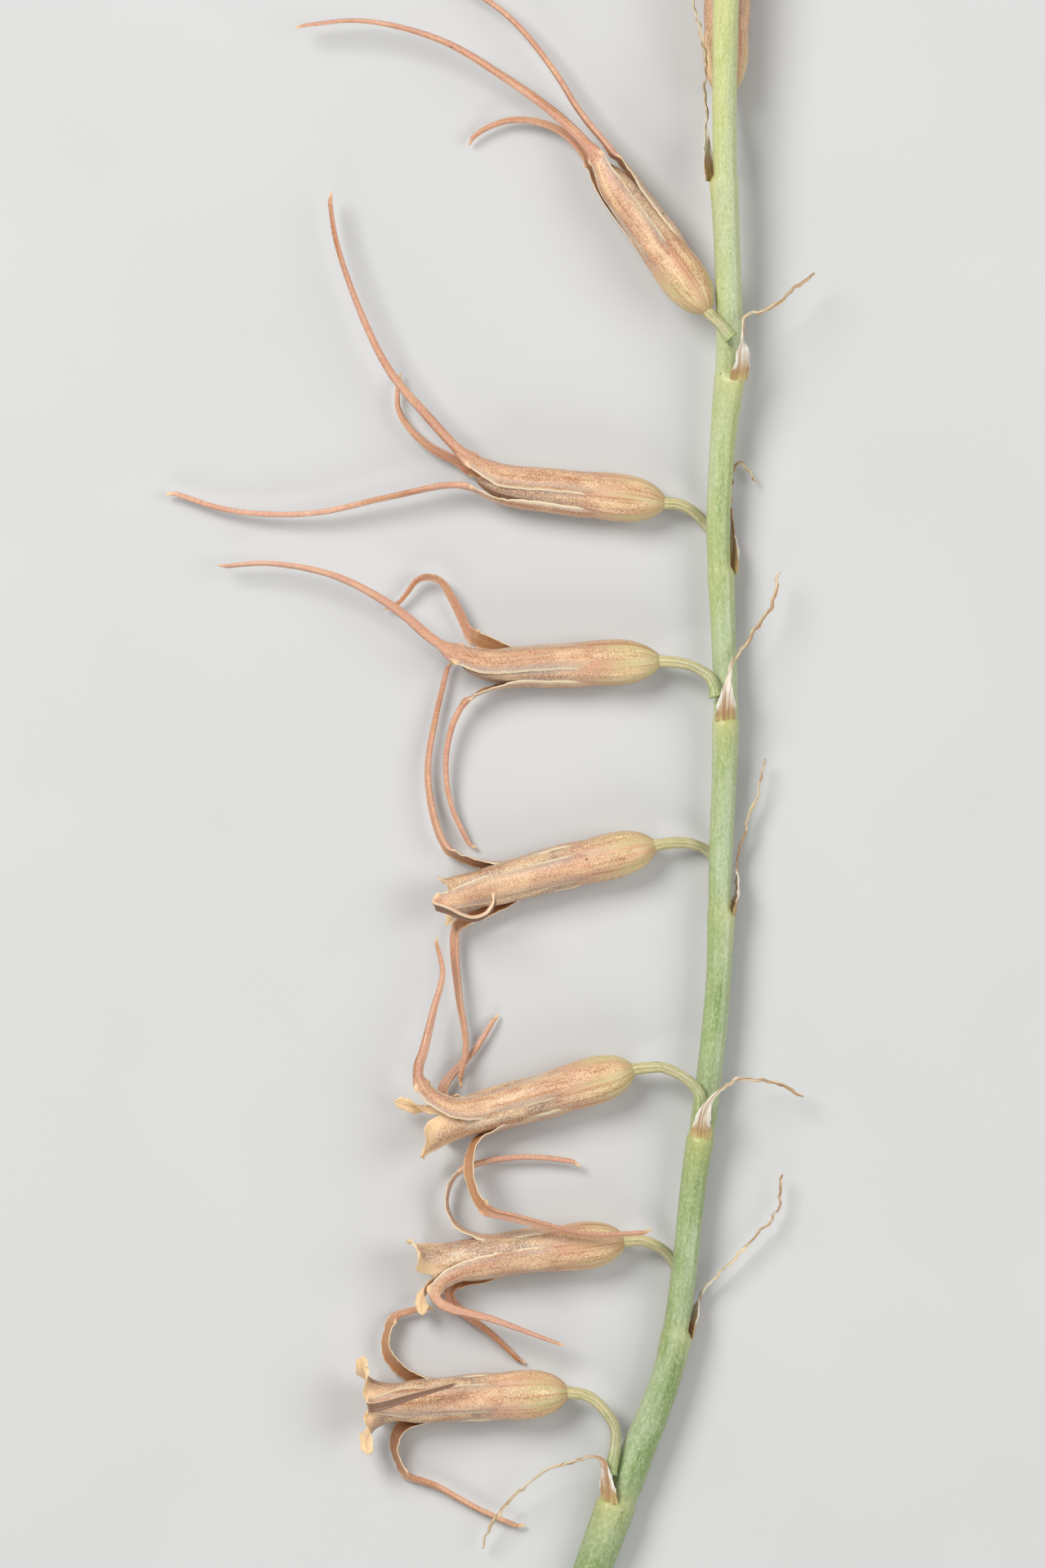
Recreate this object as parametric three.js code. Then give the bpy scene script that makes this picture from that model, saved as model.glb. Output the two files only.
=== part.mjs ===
// A dipcadi flower spike, cut from its plant and laid on its side. A slender stem bears eight
// nodding flowers and three young buds, each on its own pedicel above a papery bract. A flower is
// a fused tube that ends in three inner tepals, with three outer tepals laid over it that part
// from the tube near its mouth and run out into long tails.
//
// Millimetres. +Y runs up the spike and +Z up from the surface that it lies on; the flowers hang
// to -X. The origin is the middle of the spike's outline, on that surface.

import * as THREE from "three";

// ---- driving dimensions ----

const STEM_SIDES = 10;
const STALK_SIDES = 8;
const TUBE_SIDES = 12; // four for each inner tepal
const STEM_RINGS_PER_SPAN = 3;
const STALK_RINGS = 7;
const RING_STEP = 1.9; // longest stretch between two rings of a strap
const RING_GAP = 0.42; // shortest one
const RING_TURN = 0.55; // most that a strap turns between two rings further apart, in radians
const TRACE_STEPS = 400; // fine steps that a strap's rings are picked from

const CLEARANCE = 0.12; // gap where one piece of the spike meets another

const TUBE = {
  foot: 0.42, // radius where the pedicel ends
  fused: 1.6, // radius of the fused part
  free: 1.22, // radius of the inner tepals, under the outer ones
  shoulder: 0.3, // share of the length where the outer tepals come free
  bore: 0.35, // share of the length where an open flower's bore starts
  throat: 0.93, // share of the length where the inner tepals of an open flower come free
  wall: 0.24,
};

// Rings round a tube and round a bud: share of the length, and share of the radius there.
const FOOT_PROFILE = [
  [0.03, 0.62],
  [0.09, 0.92],
  [0.18, 1],
];
const CLOSED_PROFILE = [
  [0.8, 0.86],
  [0.92, 0.6],
  [0.98, 0.3],
];
const BUD_PROFILE = [
  [0.01, 0.3],
  [0.08, 0.75],
  [0.22, 1],
  [0.45, 0.95],
  [0.62, 0.62],
  [0.74, 0.32],
  [0.98, 0.16],
];

// The inner tepals' free ends: their length where two of them meet, the bend there in radians,
// how much narrower a tip is, and the rings along one. Each one's own length and bend go with
// its flower.
const LIP = { gap: 0.35, gapBend: 0.3, narrowing: 0.45, rings: [0, 0.35, 0.7, 1] };

const BLADE = { width: 1.95, kneeWidth: 0.95, thickness: 0.3, kneeCurvature: 0.5 };
const TAIL = { width: 0.62, tipWidth: 0.3, thickness: 0.34, tipThickness: 0.2 };
const STRAP_EDGE = 0.55; // share of a strap's thickness that is left at its edges

const BRACT = {
  width: 1.5,
  threadWidth: 0.26,
  thickness: 0.14,
  clasp: 0.7, // crosswise curvature at its foot
  sheath: 3.2, // longest stretch from its foot to its thread
  sheathShare: 0.55, // most of the bract's length that the stretch takes
};

const PEDICEL = { foot: 0.42, middle: 0.35, top: 0.4, young: 0.6 };

// The stem: points up its middle, from the cut end to the tip, with its radius at each.
const STEM = [
  { at: [2.4, -59.5, 1.3], radius: 1.28 },
  { at: [4.8, -52.8, 1.35], radius: 1.25 },
  { at: [7.2, -46.4, 1.55], radius: 1.2 },
  { at: [9.7, -39.8, 1.75], radius: 0.95 },
  { at: [10.7, -34.5, 1.9], radius: 0.88 },
  { at: [11.6, -26.4, 1.9], radius: 0.84 },
  { at: [12.4, -21.2, 1.9], radius: 0.88 },
  { at: [13.2, -13.2, 1.9], radius: 0.82 },
  { at: [13.35, -6.0, 1.9], radius: 0.8 },
  { at: [13.7, 4.6, 1.9], radius: 0.84 },
  { at: [13.5, 11.0, 1.9], radius: 0.8 },
  { at: [13.2, 17.2, 1.92], radius: 0.8 },
  { at: [13.5, 23.2, 2.25], radius: 0.84 },
  { at: [13.95, 28.8, 2.75], radius: 0.93 },
  { at: [13.8, 36.0, 3.3], radius: 0.85 },
  { at: [13.6, 43.0, 3.8], radius: 0.82 },
  { at: [13.7, 51.5, 4.4], radius: 0.8 },
  { at: [14.0, 58.5, 4.65], radius: 0.68 },
  { at: [14.3, 66.0, 4.75], radius: 0.5 },
  { at: [14.3, 71.5, 4.65], radius: 0.36 },
  { at: [14.1, 75.5, 4.45], radius: 0.2 },
];

// The flowers, from the cut end up. A pedicel's points run from the stem to the flower's foot.
// An outer tepal lies on the tube at its clock angle, which is 0 on the side that faces up and
// grows towards the spike's tip. It leaves the tube at a share of the tube's length, and follows
// its route from there. Its blade ends and its tail begins at the route's knee.
const FLOWERS = [
  {
    girth: 1.05,
    lips: [
      { length: 3.3, bend: 2.2 },
      { length: 1.6, bend: 0.4 },
      { length: 3.3, bend: 2.2 },
    ],
    pedicel: [
      [5.85, -46.4, 2.75],
      [6.2, -44.9, 2.65],
      [6.25, -43.4, 2.3],
      [5.4, -42.0, 2.0],
      [4.4, -41.2, 1.8],
      [3.05, -40.95, 1.75],
    ],
    throat: [-9.6, -41.7, 1.72],
    tepals: [
      {
        side: "front",
        clock: 0,
        leaves: 0.88,
        knee: 1,
        route: [
          [-9.75, -41.75, 3.4],
          [-10.3, -41.85, 3.85],
          [-9.7, -41.8, 4.3],
          [-7.2, -41.05, 4.4],
          [-4.25, -40.2, 4.45],
        ],
      },
      {
        side: "upper",
        clock: 120,
        leaves: 0.73,
        knee: 3,
        route: [
          [-8.0, -39.4, 1.0],
          [-9.05, -38.1, 0.9],
          [-8.95, -36.8, 0.8],
          [-8.55, -35.95, 0.75],
          [-7.4, -35.5, 0.7],
          [-6.1, -35.15, 0.65],
        ],
      },
      {
        side: "lower",
        clock: -120,
        leaves: 0.73,
        knee: 3,
        route: [
          [-8.0, -43.4, 1.0],
          [-8.5, -44.7, 0.8],
          [-8.1, -46.0, 0.7],
          [-7.6, -46.65, 0.65],
          [-6.2, -47.1, 0.6],
          [-3.0, -48.85, 0.55],
          [0.0, -50.2, 0.5],
        ],
      },
    ],
    bract: {
      faces: [-0.6, 0, 0.8],
      route: [
        [5.7, -48.2, 2.7],
        [5.6, -46.8, 3.2],
        [5.25, -45.35, 3.6],
        [4.0, -45.4, 3.5],
        [1.6, -46.2, 3.0],
        [-0.5, -47.9, 2.2],
        [-2.1, -49.9, 1.5],
        [-2.7, -51.5, 1.0],
      ],
    },
  },
  {
    girth: 1,
    lips: [
      { length: 2.9, bend: 2.0 },
      { length: 1.6, bend: 0.4 },
      { length: 3.1, bend: 1.9 },
    ],
    pedicel: [
      [10.9, -34.7, 0.43],
      [10.6, -33.2, 0.42],
      [10.0, -31.9, 0.6],
      [9.2, -31.2, 1.0],
      [8.1, -30.75, 1.45],
      [6.9, -30.75, 1.65],
    ],
    throat: [-6.2, -32.3, 1.65],
    tepals: [
      {
        side: "front",
        clock: -28,
        leaves: 0.66,
        knee: 2,
        route: [
          [-3.8, -32.8, 2.9],
          [-5.2, -33.45, 2.8],
          [-5.85, -34.3, 2.65],
          [-5.3, -35.05, 2.5],
          [-2.2, -35.95, 2.3],
          [0.4, -36.9, 2.1],
          [2.8, -37.8, 2.0],
        ],
      },
      {
        side: "upper",
        clock: 92,
        leaves: 0.7,
        knee: 3,
        route: [
          [-4.2, -29.75, 1.55],
          [-5.0, -28.4, 1.4],
          [-4.75, -26.9, 1.2],
          [-4.05, -26.05, 1.1],
          [-1.9, -25.35, 1.0],
          [1.0, -25.15, 0.9],
          [3.9, -25.5, 0.8],
        ],
      },
      {
        side: "back",
        clock: -148,
        leaves: 0.6,
        knee: 1,
        route: [
          [-3.1, -33.3, 0.5],
          [-4.5, -33.7, 0.55],
          [-4.85, -34.5, 0.55],
          [-4.2, -35.4, 0.5],
          [-2.25, -36.9, 0.45],
          [0.1, -39.15, 0.4],
        ],
      },
    ],
    bract: {
      faces: [0.9, 0, -0.4],
      route: [
        [11.45, -37.1, 1.4],
        [11.8, -35.3, 1.3],
        [12.2, -34.1, 1.3],
        [13.3, -33.0, 1.3],
        [15.2, -31.0, 1.4],
        [17.2, -28.7, 1.3],
        [17.5, -26.3, 1.2],
      ],
    },
  },
  {
    girth: 1,
    lips: [
      { length: 3.7, bend: 0.6 },
      { length: 1.6, bend: 0.4 },
      { length: 3.4, bend: 1.4 },
    ],
    pedicel: [
      [12.1, -21.9, 3.25],
      [11.9, -20.8, 3.25],
      [11.3, -20.05, 3.05],
      [10.5, -19.5, 2.7],
      [9.4, -19.05, 2.25],
      [7.5, -19.2, 1.75],
    ],
    throat: [-5.2, -22.8, 1.68],
    tepals: [
      {
        side: "front",
        clock: 24,
        leaves: 0.8,
        knee: 2,
        route: [
          [-4.4, -21.65, 3.4],
          [-6.1, -20.85, 3.5],
          [-6.95, -19.6, 3.45],
          [-6.5, -17.6, 3.3],
          [-5.9, -15.0, 3.0],
          [-5.35, -12.6, 2.7],
          [-5.9, -10.4, 2.5],
        ],
      },
      {
        side: "back",
        clock: 144,
        leaves: 0.78,
        knee: 1,
        route: [
          [-4.0, -21.45, 0.75],
          [-5.1, -21.2, 0.8],
          [-5.3, -20.5, 0.8],
          [-4.7, -19.6, 0.75],
          [-3.1, -17.8, 0.6],
          [-1.7, -15.5, 0.5],
        ],
      },
      {
        side: "lower",
        clock: -96,
        leaves: 0.68,
        knee: 3,
        route: [
          [-2.9, -24.0, 2.0],
          [-3.45, -25.6, 2.6],
          [-3.2, -27.2, 3.3],
          [-2.45, -28.45, 3.9],
          [0.1, -29.2, 4.1],
          [4.3, -30.2, 4.05],
          [8.65, -30.1, 3.95],
        ],
      },
    ],
    bract: {
      faces: [0, 0, 1],
      route: [
        [12.0, -23.7, 2.95],
        [12.15, -22.5, 3.85],
        [12.5, -21.5, 4.25],
        [13.2, -20.6, 4.15],
        [14.6, -19.85, 3.6],
        [16.9, -20.05, 2.7],
        [18.95, -21.0, 1.9],
      ],
    },
  },
  {
    girth: 0.97,
    lips: [
      { length: 1.9, bend: 0.6 },
      { length: 1.5, bend: 0.4 },
      { length: 2.1, bend: 0.9 },
    ],
    pedicel: [
      [13.55, -6.8, 0.43],
      [13.2, -5.4, 0.42],
      [12.5, -4.5, 0.6],
      [11.4, -4.0, 1.05],
      [10.3, -3.94, 1.4],
      [8.97, -4.1, 1.62],
    ],
    throat: [-4.4, -7.4, 1.62],
    tepals: [
      {
        side: "front",
        clock: -9,
        leaves: 0.9,
        knee: 1,
        route: [
          [-5.2, -7.9, 3.3],
          [-5.8, -8.1, 3.7],
          [-5.2, -8.3, 4.1],
          [-3.4, -9.0, 4.05],
          [-2.3, -8.6, 3.95],
          [-1.75, -7.4, 4.0],
        ],
      },
      {
        side: "upper",
        clock: 111,
        leaves: 0.76,
        knee: 1,
        route: [
          [-2.9, -5.15, 1.15],
          [-4.9, -4.4, 1.2],
          [-5.9, -2.2, 1.15],
          [-6.35, 1.0, 1.05],
          [-5.9, 4.2, 0.9],
          [-4.95, 8.3, 0.7],
        ],
      },
      {
        side: "lower",
        clock: -129,
        leaves: 0.7,
        knee: 1,
        route: [
          [-2.6, -8.8, 0.8],
          [-4.3, -9.6, 0.9],
          [-4.5, -11.0, 1.0],
          [-4.2, -14.5, 1.2],
          [-3.8, -17.6, 1.35],
          [-4.3, -20.3, 1.35],
        ],
      },
    ],
    bract: {
      faces: [1, 0, -0.2],
      route: [
        [14.35, -8.6, 1.7],
        [14.55, -7.0, 1.6],
        [14.5, -5.4, 1.5],
        [14.8, -3.8, 1.4],
        [15.8, -0.8, 1.3],
        [16.4, 1.7, 1.3],
      ],
    },
  },
  {
    girth: 0.97,
    pedicel: [
      [13.1, 5.9, 3.2],
      [12.7, 7.1, 3.05],
      [11.85, 7.75, 2.7],
      [10.8, 8.15, 2.2],
      [9.25, 8.3, 1.68],
    ],
    throat: [-4.0, 7.9, 1.62],
    tepals: [
      {
        side: "front",
        clock: 24,
        leaves: 0.92,
        knee: 0,
        route: [
          [-5.4, 9.4, 3.2],
          [-8.7, 12.0, 3.1],
          [-12.6, 14.05, 2.7],
          [-17.2, 14.9, 2.0],
          [-20.4, 14.65, 1.4],
        ],
      },
      {
        side: "back",
        clock: 144,
        leaves: 0.76,
        knee: 1,
        route: [
          [-2.4, 9.6, 0.8],
          [-3.45, 10.2, 0.9],
          [-4.3, 11.8, 1.0],
          [-5.6, 13.8, 1.15],
          [-6.9, 13.9, 1.1],
          [-8.2, 12.4, 0.8],
          [-9.2, 11.7, 0.6],
        ],
      },
      {
        side: "lower",
        clock: -96,
        leaves: 0.76,
        knee: 1,
        route: [
          [-2.6, 6.2, 1.5],
          [-3.9, 5.4, 1.5],
          [-4.7, 3.9, 1.4],
          [-5.15, 1.4, 1.2],
          [-4.8, -1.4, 0.8],
          [-3.4, -4.4, 0.45],
        ],
      },
    ],
    bract: {
      faces: [0.15, 0, 1],
      route: [
        [13.7, 4.4, 2.9],
        [13.75, 5.5, 3.65],
        [13.85, 6.9, 4.05],
        [14.15, 8.2, 3.75],
        [15.3, 9.8, 3.1],
        [16.8, 12.2, 2.6],
        [17.3, 14.3, 2.3],
      ],
    },
  },
  {
    girth: 1,
    pedicel: [
      [13.3, 15.5, 0.43],
      [13.1, 16.5, 0.42],
      [12.4, 17.5, 0.55],
      [11.5, 18.4, 1.0],
      [10.6, 18.85, 1.45],
      [9.6, 18.95, 1.65],
    ],
    throat: [-3.1, 20.5, 1.65],
    tepals: [
      {
        side: "front",
        clock: 35,
        leaves: 0.9,
        knee: 0,
        route: [
          [-3.8, 22.2, 3.1],
          [-6.15, 24.6, 3.1],
          [-8.9, 27.85, 2.9],
          [-11.05, 32.25, 2.5],
          [-12.6, 36.9, 2.1],
          [-13.0, 39.8, 1.8],
        ],
      },
      {
        side: "back",
        clock: 155,
        leaves: 0.88,
        knee: 0,
        route: [
          [-3.7, 21.6, 0.75],
          [-6.5, 23.0, 0.8],
          [-8.3, 25.2, 0.75],
          [-8.3, 27.7, 0.7],
        ],
      },
      {
        side: "lower",
        clock: -85,
        leaves: 0.8,
        knee: 1,
        route: [
          [-2.4, 19.3, 1.85],
          [-4.2, 20.1, 1.9],
          [-8.9, 19.35, 1.8],
          [-14.3, 18.25, 1.4],
          [-19.8, 18.5, 1.0],
          [-23.9, 19.8, 0.7],
        ],
      },
    ],
    bract: {
      faces: [0.7, 0, -0.7],
      route: [
        [14.2, 14.4, 1.15],
        [14.25, 16.4, 1.0],
        [14.1, 19.0, 0.9],
        [14.1, 20.9, 0.9],
        [14.7, 21.6, 0.85],
        [15.85, 20.4, 0.7],
      ],
    },
  },
  {
    girth: 1,
    pedicel: [
      [14.05, 30.0, 4.2],
      [13.3, 30.9, 4.1],
      [12.45, 31.8, 3.6],
    ],
    throat: [5.2, 41.9, 2.1],
    tepals: [
      {
        side: "front",
        clock: -20,
        leaves: 0.84,
        knee: 0,
        route: [
          [4.8, 42.4, 2.95],
          [2.4, 44.9, 3.0],
          [-1.3, 47.6, 3.0],
          [-5.6, 50.1, 2.8],
          [-10.85, 51.4, 2.4],
          [-15.2, 51.05, 1.9],
        ],
      },
      {
        side: "right",
        clock: 100,
        leaves: 0.84,
        knee: 0,
        route: [
          [6.1, 42.7, 2.2],
          [4.0, 45.2, 2.1],
          [2.0, 48.3, 1.9],
          [-1.0, 51.8, 1.7],
          [-6.8, 55.6, 1.1],
        ],
      },
      {
        side: "left",
        clock: -140,
        leaves: 0.84,
        knee: 0,
        route: [
          [4.3, 42.3, 1.25],
          [2.4, 44.1, 1.1],
          [-0.4, 44.8, 0.9],
          [-2.5, 44.2, 0.8],
          [-3.7, 43.3, 0.7],
        ],
      },
    ],
    bract: {
      faces: [0.4, 0, 0.9],
      route: [
        [14.7, 27.3, 3.6],
        [14.85, 28.9, 4.6],
        [14.8, 30.2, 5.05],
        [15.0, 31.3, 4.85],
        [16.4, 31.9, 4.3],
        [18.2, 33.2, 3.7],
        [19.65, 34.4, 3.3],
      ],
    },
  },
  {
    girth: 0.97,
    pedicel: [
      [13.65, 41.6, 2.35],
      [13.65, 43.2, 2.05],
      [13.65, 44.8, 1.75],
      [13.65, 46.4, 1.62],
    ],
    throat: [13.95, 59.0, 1.62],
    tepals: [
      {
        side: "left",
        clock: -60,
        leaves: 0.84,
        knee: 0,
        route: [
          [13.2, 59.9, 2.2],
          [11.2, 63.7, 2.1],
          [7.8, 67.4, 1.8],
          [3.9, 69.6, 1.4],
        ],
      },
      {
        side: "right",
        clock: 60,
        leaves: 0.84,
        knee: 0,
        route: [
          [14.8, 59.9, 2.2],
          [16.8, 63.7, 2.2],
          [20.0, 66.9, 2.0],
          [24.3, 68.8, 1.6],
        ],
      },
      {
        side: "back",
        clock: 180,
        leaves: 0.84,
        knee: 0,
        route: [
          [14.0, 59.9, 0.9],
          [14.1, 63.5, 0.75],
          [13.4, 67.6, 0.6],
          [10.2, 72.3, 0.5],
        ],
      },
    ],
    bract: {
      faces: [-0.8, 0, -0.5],
      route: [
        [12.5, 40.8, 3.2],
        [12.4, 42.6, 3.1],
        [12.35, 44.4, 3.1],
        [12.3, 46.5, 3.3],
        [12.25, 49.3, 3.6],
        [11.7, 51.6, 3.7],
        [11.1, 53.8, 3.6],
      ],
    },
  },
];

// The young buds above the flowers, each closed and drawn out into a beak.
const BUDS = [
  {
    girth: 1.05,
    pedicel: [
      [12.7, 55.4, 4.6],
      [12.5, 56.4, 4.65],
      [12.15, 57.3, 4.7],
    ],
    beak: [9.2, 64.2, 4.7],
    bract: {
      faces: [-0.8, 0, 0.5],
      route: [
        [13.05, 54.2, 5.05],
        [12.45, 55.6, 5.35],
        [11.7, 57.4, 5.9],
        [10.9, 59.0, 6.3],
      ],
    },
  },
  {
    girth: 0.85,
    pedicel: [
      [15.0, 61.0, 4.75],
      [15.2, 62.0, 4.8],
      [15.45, 62.9, 4.85],
    ],
    beak: [17.6, 68.4, 4.8],
    bract: {
      faces: [0.8, 0, 0.5],
      route: [
        [14.8, 60.0, 5.2],
        [15.45, 61.3, 5.45],
        [16.2, 62.9, 5.8],
        [17.0, 64.4, 6.1],
      ],
    },
  },
  {
    girth: 0.68,
    pedicel: [
      [13.5, 66.4, 4.75],
      [13.35, 67.2, 4.8],
      [13.15, 67.9, 4.8],
    ],
    beak: [12.0, 72.0, 4.8],
    bract: {
      faces: [-0.8, 0, 0.5],
      route: [
        [13.75, 65.5, 5.15],
        [13.2, 66.7, 5.35],
        [12.5, 68.2, 5.6],
        [11.9, 69.4, 5.8],
      ],
    },
  },
];

// ---- materials ----

function material(color, roughness) {
  return new THREE.MeshStandardMaterial({ color, roughness, metalness: 0 });
}

const MATERIALS = {
  stem: material(0x9db46a, 0.6),
  pedicel: material(0xb9b57c, 0.6),
  tube: material(0xc08a66, 0.5),
  tepal: material(0xd0926f, 0.5),
  bract: material(0xd8c6a0, 0.8),
  bud: material(0xa8a06c, 0.55),
};

// ---- geometry ----

const point = (xyz) => new THREE.Vector3(...xyz);

function smoothCurve(points) {
  return new THREE.CatmullRomCurve3(points, false, "centripetal");
}

function mix(a, b, share) {
  return a + (b - a) * THREE.MathUtils.clamp(share, 0, 1);
}

// A closed body from rings of points, with a point that closes it before the first ring and
// another after the last. Its faces are turned to point out.
function loft(firstPole, rings, lastPole) {
  const sides = rings[0].length;
  const vertices = [firstPole, ...rings.flat(), lastPole];
  const last = vertices.length - 1;
  const vertex = (ring, side) => 1 + ring * sides + (side % sides);
  const faces = [];
  for (let side = 0; side < sides; side += 1) {
    faces.push(0, vertex(0, side + 1), vertex(0, side));
    faces.push(last, vertex(rings.length - 1, side), vertex(rings.length - 1, side + 1));
  }
  for (let ring = 0; ring + 1 < rings.length; ring += 1) {
    for (let side = 0; side < sides; side += 1) {
      const here = vertex(ring, side);
      const beside = vertex(ring, side + 1);
      const next = vertex(ring + 1, side);
      const across = vertex(ring + 1, side + 1);
      faces.push(here, beside, across, here, across, next);
    }
  }
  if (signedVolume(vertices, faces) < 0) faces.reverse();
  const geometry = new THREE.BufferGeometry().setFromPoints(vertices);
  geometry.setIndex(faces);
  geometry.computeVertexNormals();
  return geometry;
}

function signedVolume(vertices, faces) {
  let six = 0;
  for (let i = 0; i < faces.length; i += 3) {
    const [a, b, c] = [vertices[faces[i]], vertices[faces[i + 1]], vertices[faces[i + 2]]];
    six += a.dot(new THREE.Vector3().crossVectors(b, c));
  }
  return six / 6;
}

// A ring of points round a centre, in the plane square to the way.
function roundRing(centre, way, sides, radius, reference) {
  const across = new THREE.Vector3().crossVectors(way, reference).normalize();
  const over = new THREE.Vector3().crossVectors(across, way).normalize();
  return Array.from({ length: sides }, (_, side) => {
    const angle = (2 * Math.PI * side) / sides;
    return centre
      .clone()
      .addScaledVector(over, radius * Math.cos(angle))
      .addScaledVector(across, radius * Math.sin(angle));
  });
}

// The stem, square-cut at its foot and closed by a blunt tip.
function stemGeometry() {
  const curve = smoothCurve(STEM.map((station) => point(station.at)));
  const spans = STEM.length - 1;
  const count = spans * STEM_RINGS_PER_SPAN;
  const rings = [];
  for (let i = 0; i <= count; i += 1) {
    const place = i / STEM_RINGS_PER_SPAN;
    const span = Math.min(Math.floor(place), spans - 1);
    const radius = mix(STEM[span].radius, STEM[span + 1].radius, place - span);
    const share = i / count;
    const way = curve.getTangent(share);
    const up = new THREE.Vector3(0, 0, 1);
    rings.push(roundRing(curve.getPoint(share), way, STEM_SIDES, radius, up));
  }
  const tip = curve.getPoint(1).addScaledVector(curve.getTangent(1), STEM.at(-1).radius);
  return loft(curve.getPoint(0), rings, tip);
}

// A round stalk along its points, which stops short of the flower that it bears.
function stalkGeometry(points, scale) {
  const curve = smoothCurve(points.map(point));
  const end = 1 - CLEARANCE / curve.getLength();
  const rings = [];
  for (let i = 0; i <= STALK_RINGS; i += 1) {
    const share = (end * i) / STALK_RINGS;
    const { foot, middle, top } = PEDICEL;
    const radius = share < 0.5 ? mix(foot, middle, 2 * share) : mix(middle, top, 2 * share - 1);
    const way = curve.getTangentAt(share);
    const up = new THREE.Vector3(0, 0, 1);
    rings.push(roundRing(curve.getPointAt(share), way, STALK_SIDES, scale * radius, up));
  }
  return loft(curve.getPointAt(0), rings, curve.getPointAt(end));
}

// The directions of a flower: along its tube, out of its upper face, and towards the spike's tip.
function flowerFrame(foot, throat) {
  const axis = new THREE.Vector3().subVectors(throat, foot);
  const length = axis.length();
  axis.normalize();
  const face = new THREE.Vector3(0, 0, 1);
  face.addScaledVector(axis, -face.dot(axis)).normalize();
  const side = new THREE.Vector3().crossVectors(axis, face);
  const radial = (clock) => {
    const angle = THREE.MathUtils.degToRad(clock);
    return face.clone().multiplyScalar(Math.cos(angle)).addScaledVector(side, Math.sin(angle));
  };
  const along = (share) => foot.clone().addScaledVector(axis, share * length);
  return { axis, length, radial, along };
}

// One ring round the tube, turned so that its first point is on the first inner tepal.
function tubeRing(frame, turn, share, radius) {
  return Array.from({ length: TUBE_SIDES }, (_, side) => {
    const clock = turn + (360 * side) / TUBE_SIDES;
    return frame.along(share).addScaledVector(frame.radial(clock), radius);
  });
}

// One ring through the three inner tepals' free ends, which bend back by their own angles. rise
// is the share of their length, and inset moves the ring in from the outer face by the wall.
function lipRing(frame, lips, turn, throatShare, radius, rise, inset) {
  const perTepal = TUBE_SIDES / 3;
  return Array.from({ length: TUBE_SIDES }, (_, side) => {
    const steps = ((side + perTepal / 2) % perTepal) - perTepal / 2; // from the tepal's middle
    const tepal = ((side - steps) / perTepal) % 3;
    const spread = Math.abs(steps) / (perTepal / 2);
    const fullBend = mix(lips[tepal].bend, LIP.gapBend, spread);
    const curl = mix(lips[tepal].length, LIP.gap, spread) / fullBend; // radius of the bend
    const bend = rise * fullBend;
    const middle = turn + 120 * tepal;
    const out = frame.radial(middle);
    const bentOut = out.clone().multiplyScalar(Math.cos(bend));
    bentOut.addScaledVector(frame.axis, -Math.sin(bend));
    const clock = THREE.MathUtils.degToRad((360 * steps) / TUBE_SIDES);
    const sideways = radius * Math.sin(clock) * (1 - LIP.narrowing * rise * (1 - spread));
    return frame
      .along(throatShare)
      .addScaledVector(frame.axis, curl * Math.sin(bend))
      .addScaledVector(out, radius * Math.cos(clock) + curl * (1 - Math.cos(bend)))
      .addScaledVector(frame.radial(middle + 90), sideways)
      .addScaledVector(bentOut, -inset);
  });
}

// The fused tube with its three inner tepals. On an open flower it is hollow and its lips curl
// back; on a younger one the tepals still meet in a blunt point.
function tubeGeometry(flower, frame) {
  const turn = flower.tepals[0].clock + 60;
  const ring = (share, radius) => tubeRing(frame, turn, share, radius * flower.girth);
  const { foot, fused, free, shoulder, bore, throat, wall } = TUBE;
  const rings = [
    ring(0.004, foot / flower.girth),
    ...FOOT_PROFILE.map(([share, radius]) => ring(share, radius * fused)),
    ring(shoulder - 0.02, fused),
    ring(shoulder, free),
    ring(0.65, 0.97 * free),
  ];
  if (!flower.lips) {
    rings.push(...CLOSED_PROFILE.map(([share, radius]) => ring(share, radius * free)));
    return loft(frame.along(0), rings, frame.along(1));
  }
  const lipRadius = 0.95 * free * flower.girth;
  const lip = (rise, inset) =>
    lipRing(frame, flower.lips, turn, throat, lipRadius, rise, inset);
  rings.push(...LIP.rings.map((rise) => lip(rise, 0)));
  rings.push(...LIP.rings.toReversed().map((rise) => lip(rise, wall)));
  rings.push(ring(0.6, free - wall), ring(bore, free - 1.6 * wall));
  return loft(frame.along(0), rings, frame.along(shoulder));
}

// Where the rings of a strap go: close together where it turns, further apart where it is
// straight. Returns shares of the curve's length.
function ringShares(curve) {
  const costs = [0];
  const step = curve.getLength() / TRACE_STEPS;
  let before = curve.getTangentAt(0);
  for (let i = 1; i <= TRACE_STEPS; i += 1) {
    const way = curve.getTangentAt(i / TRACE_STEPS);
    const cost = step / RING_STEP + before.angleTo(way) / RING_TURN;
    costs.push(costs.at(-1) + Math.min(cost, step / RING_GAP));
    before = way;
  }
  const count = Math.ceil(costs.at(-1));
  return Array.from({ length: count + 1 }, (_, ring) => {
    const wanted = (costs.at(-1) * ring) / count;
    return costs.findIndex((cost) => cost >= wanted - 1e-9) / TRACE_STEPS;
  });
}

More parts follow.
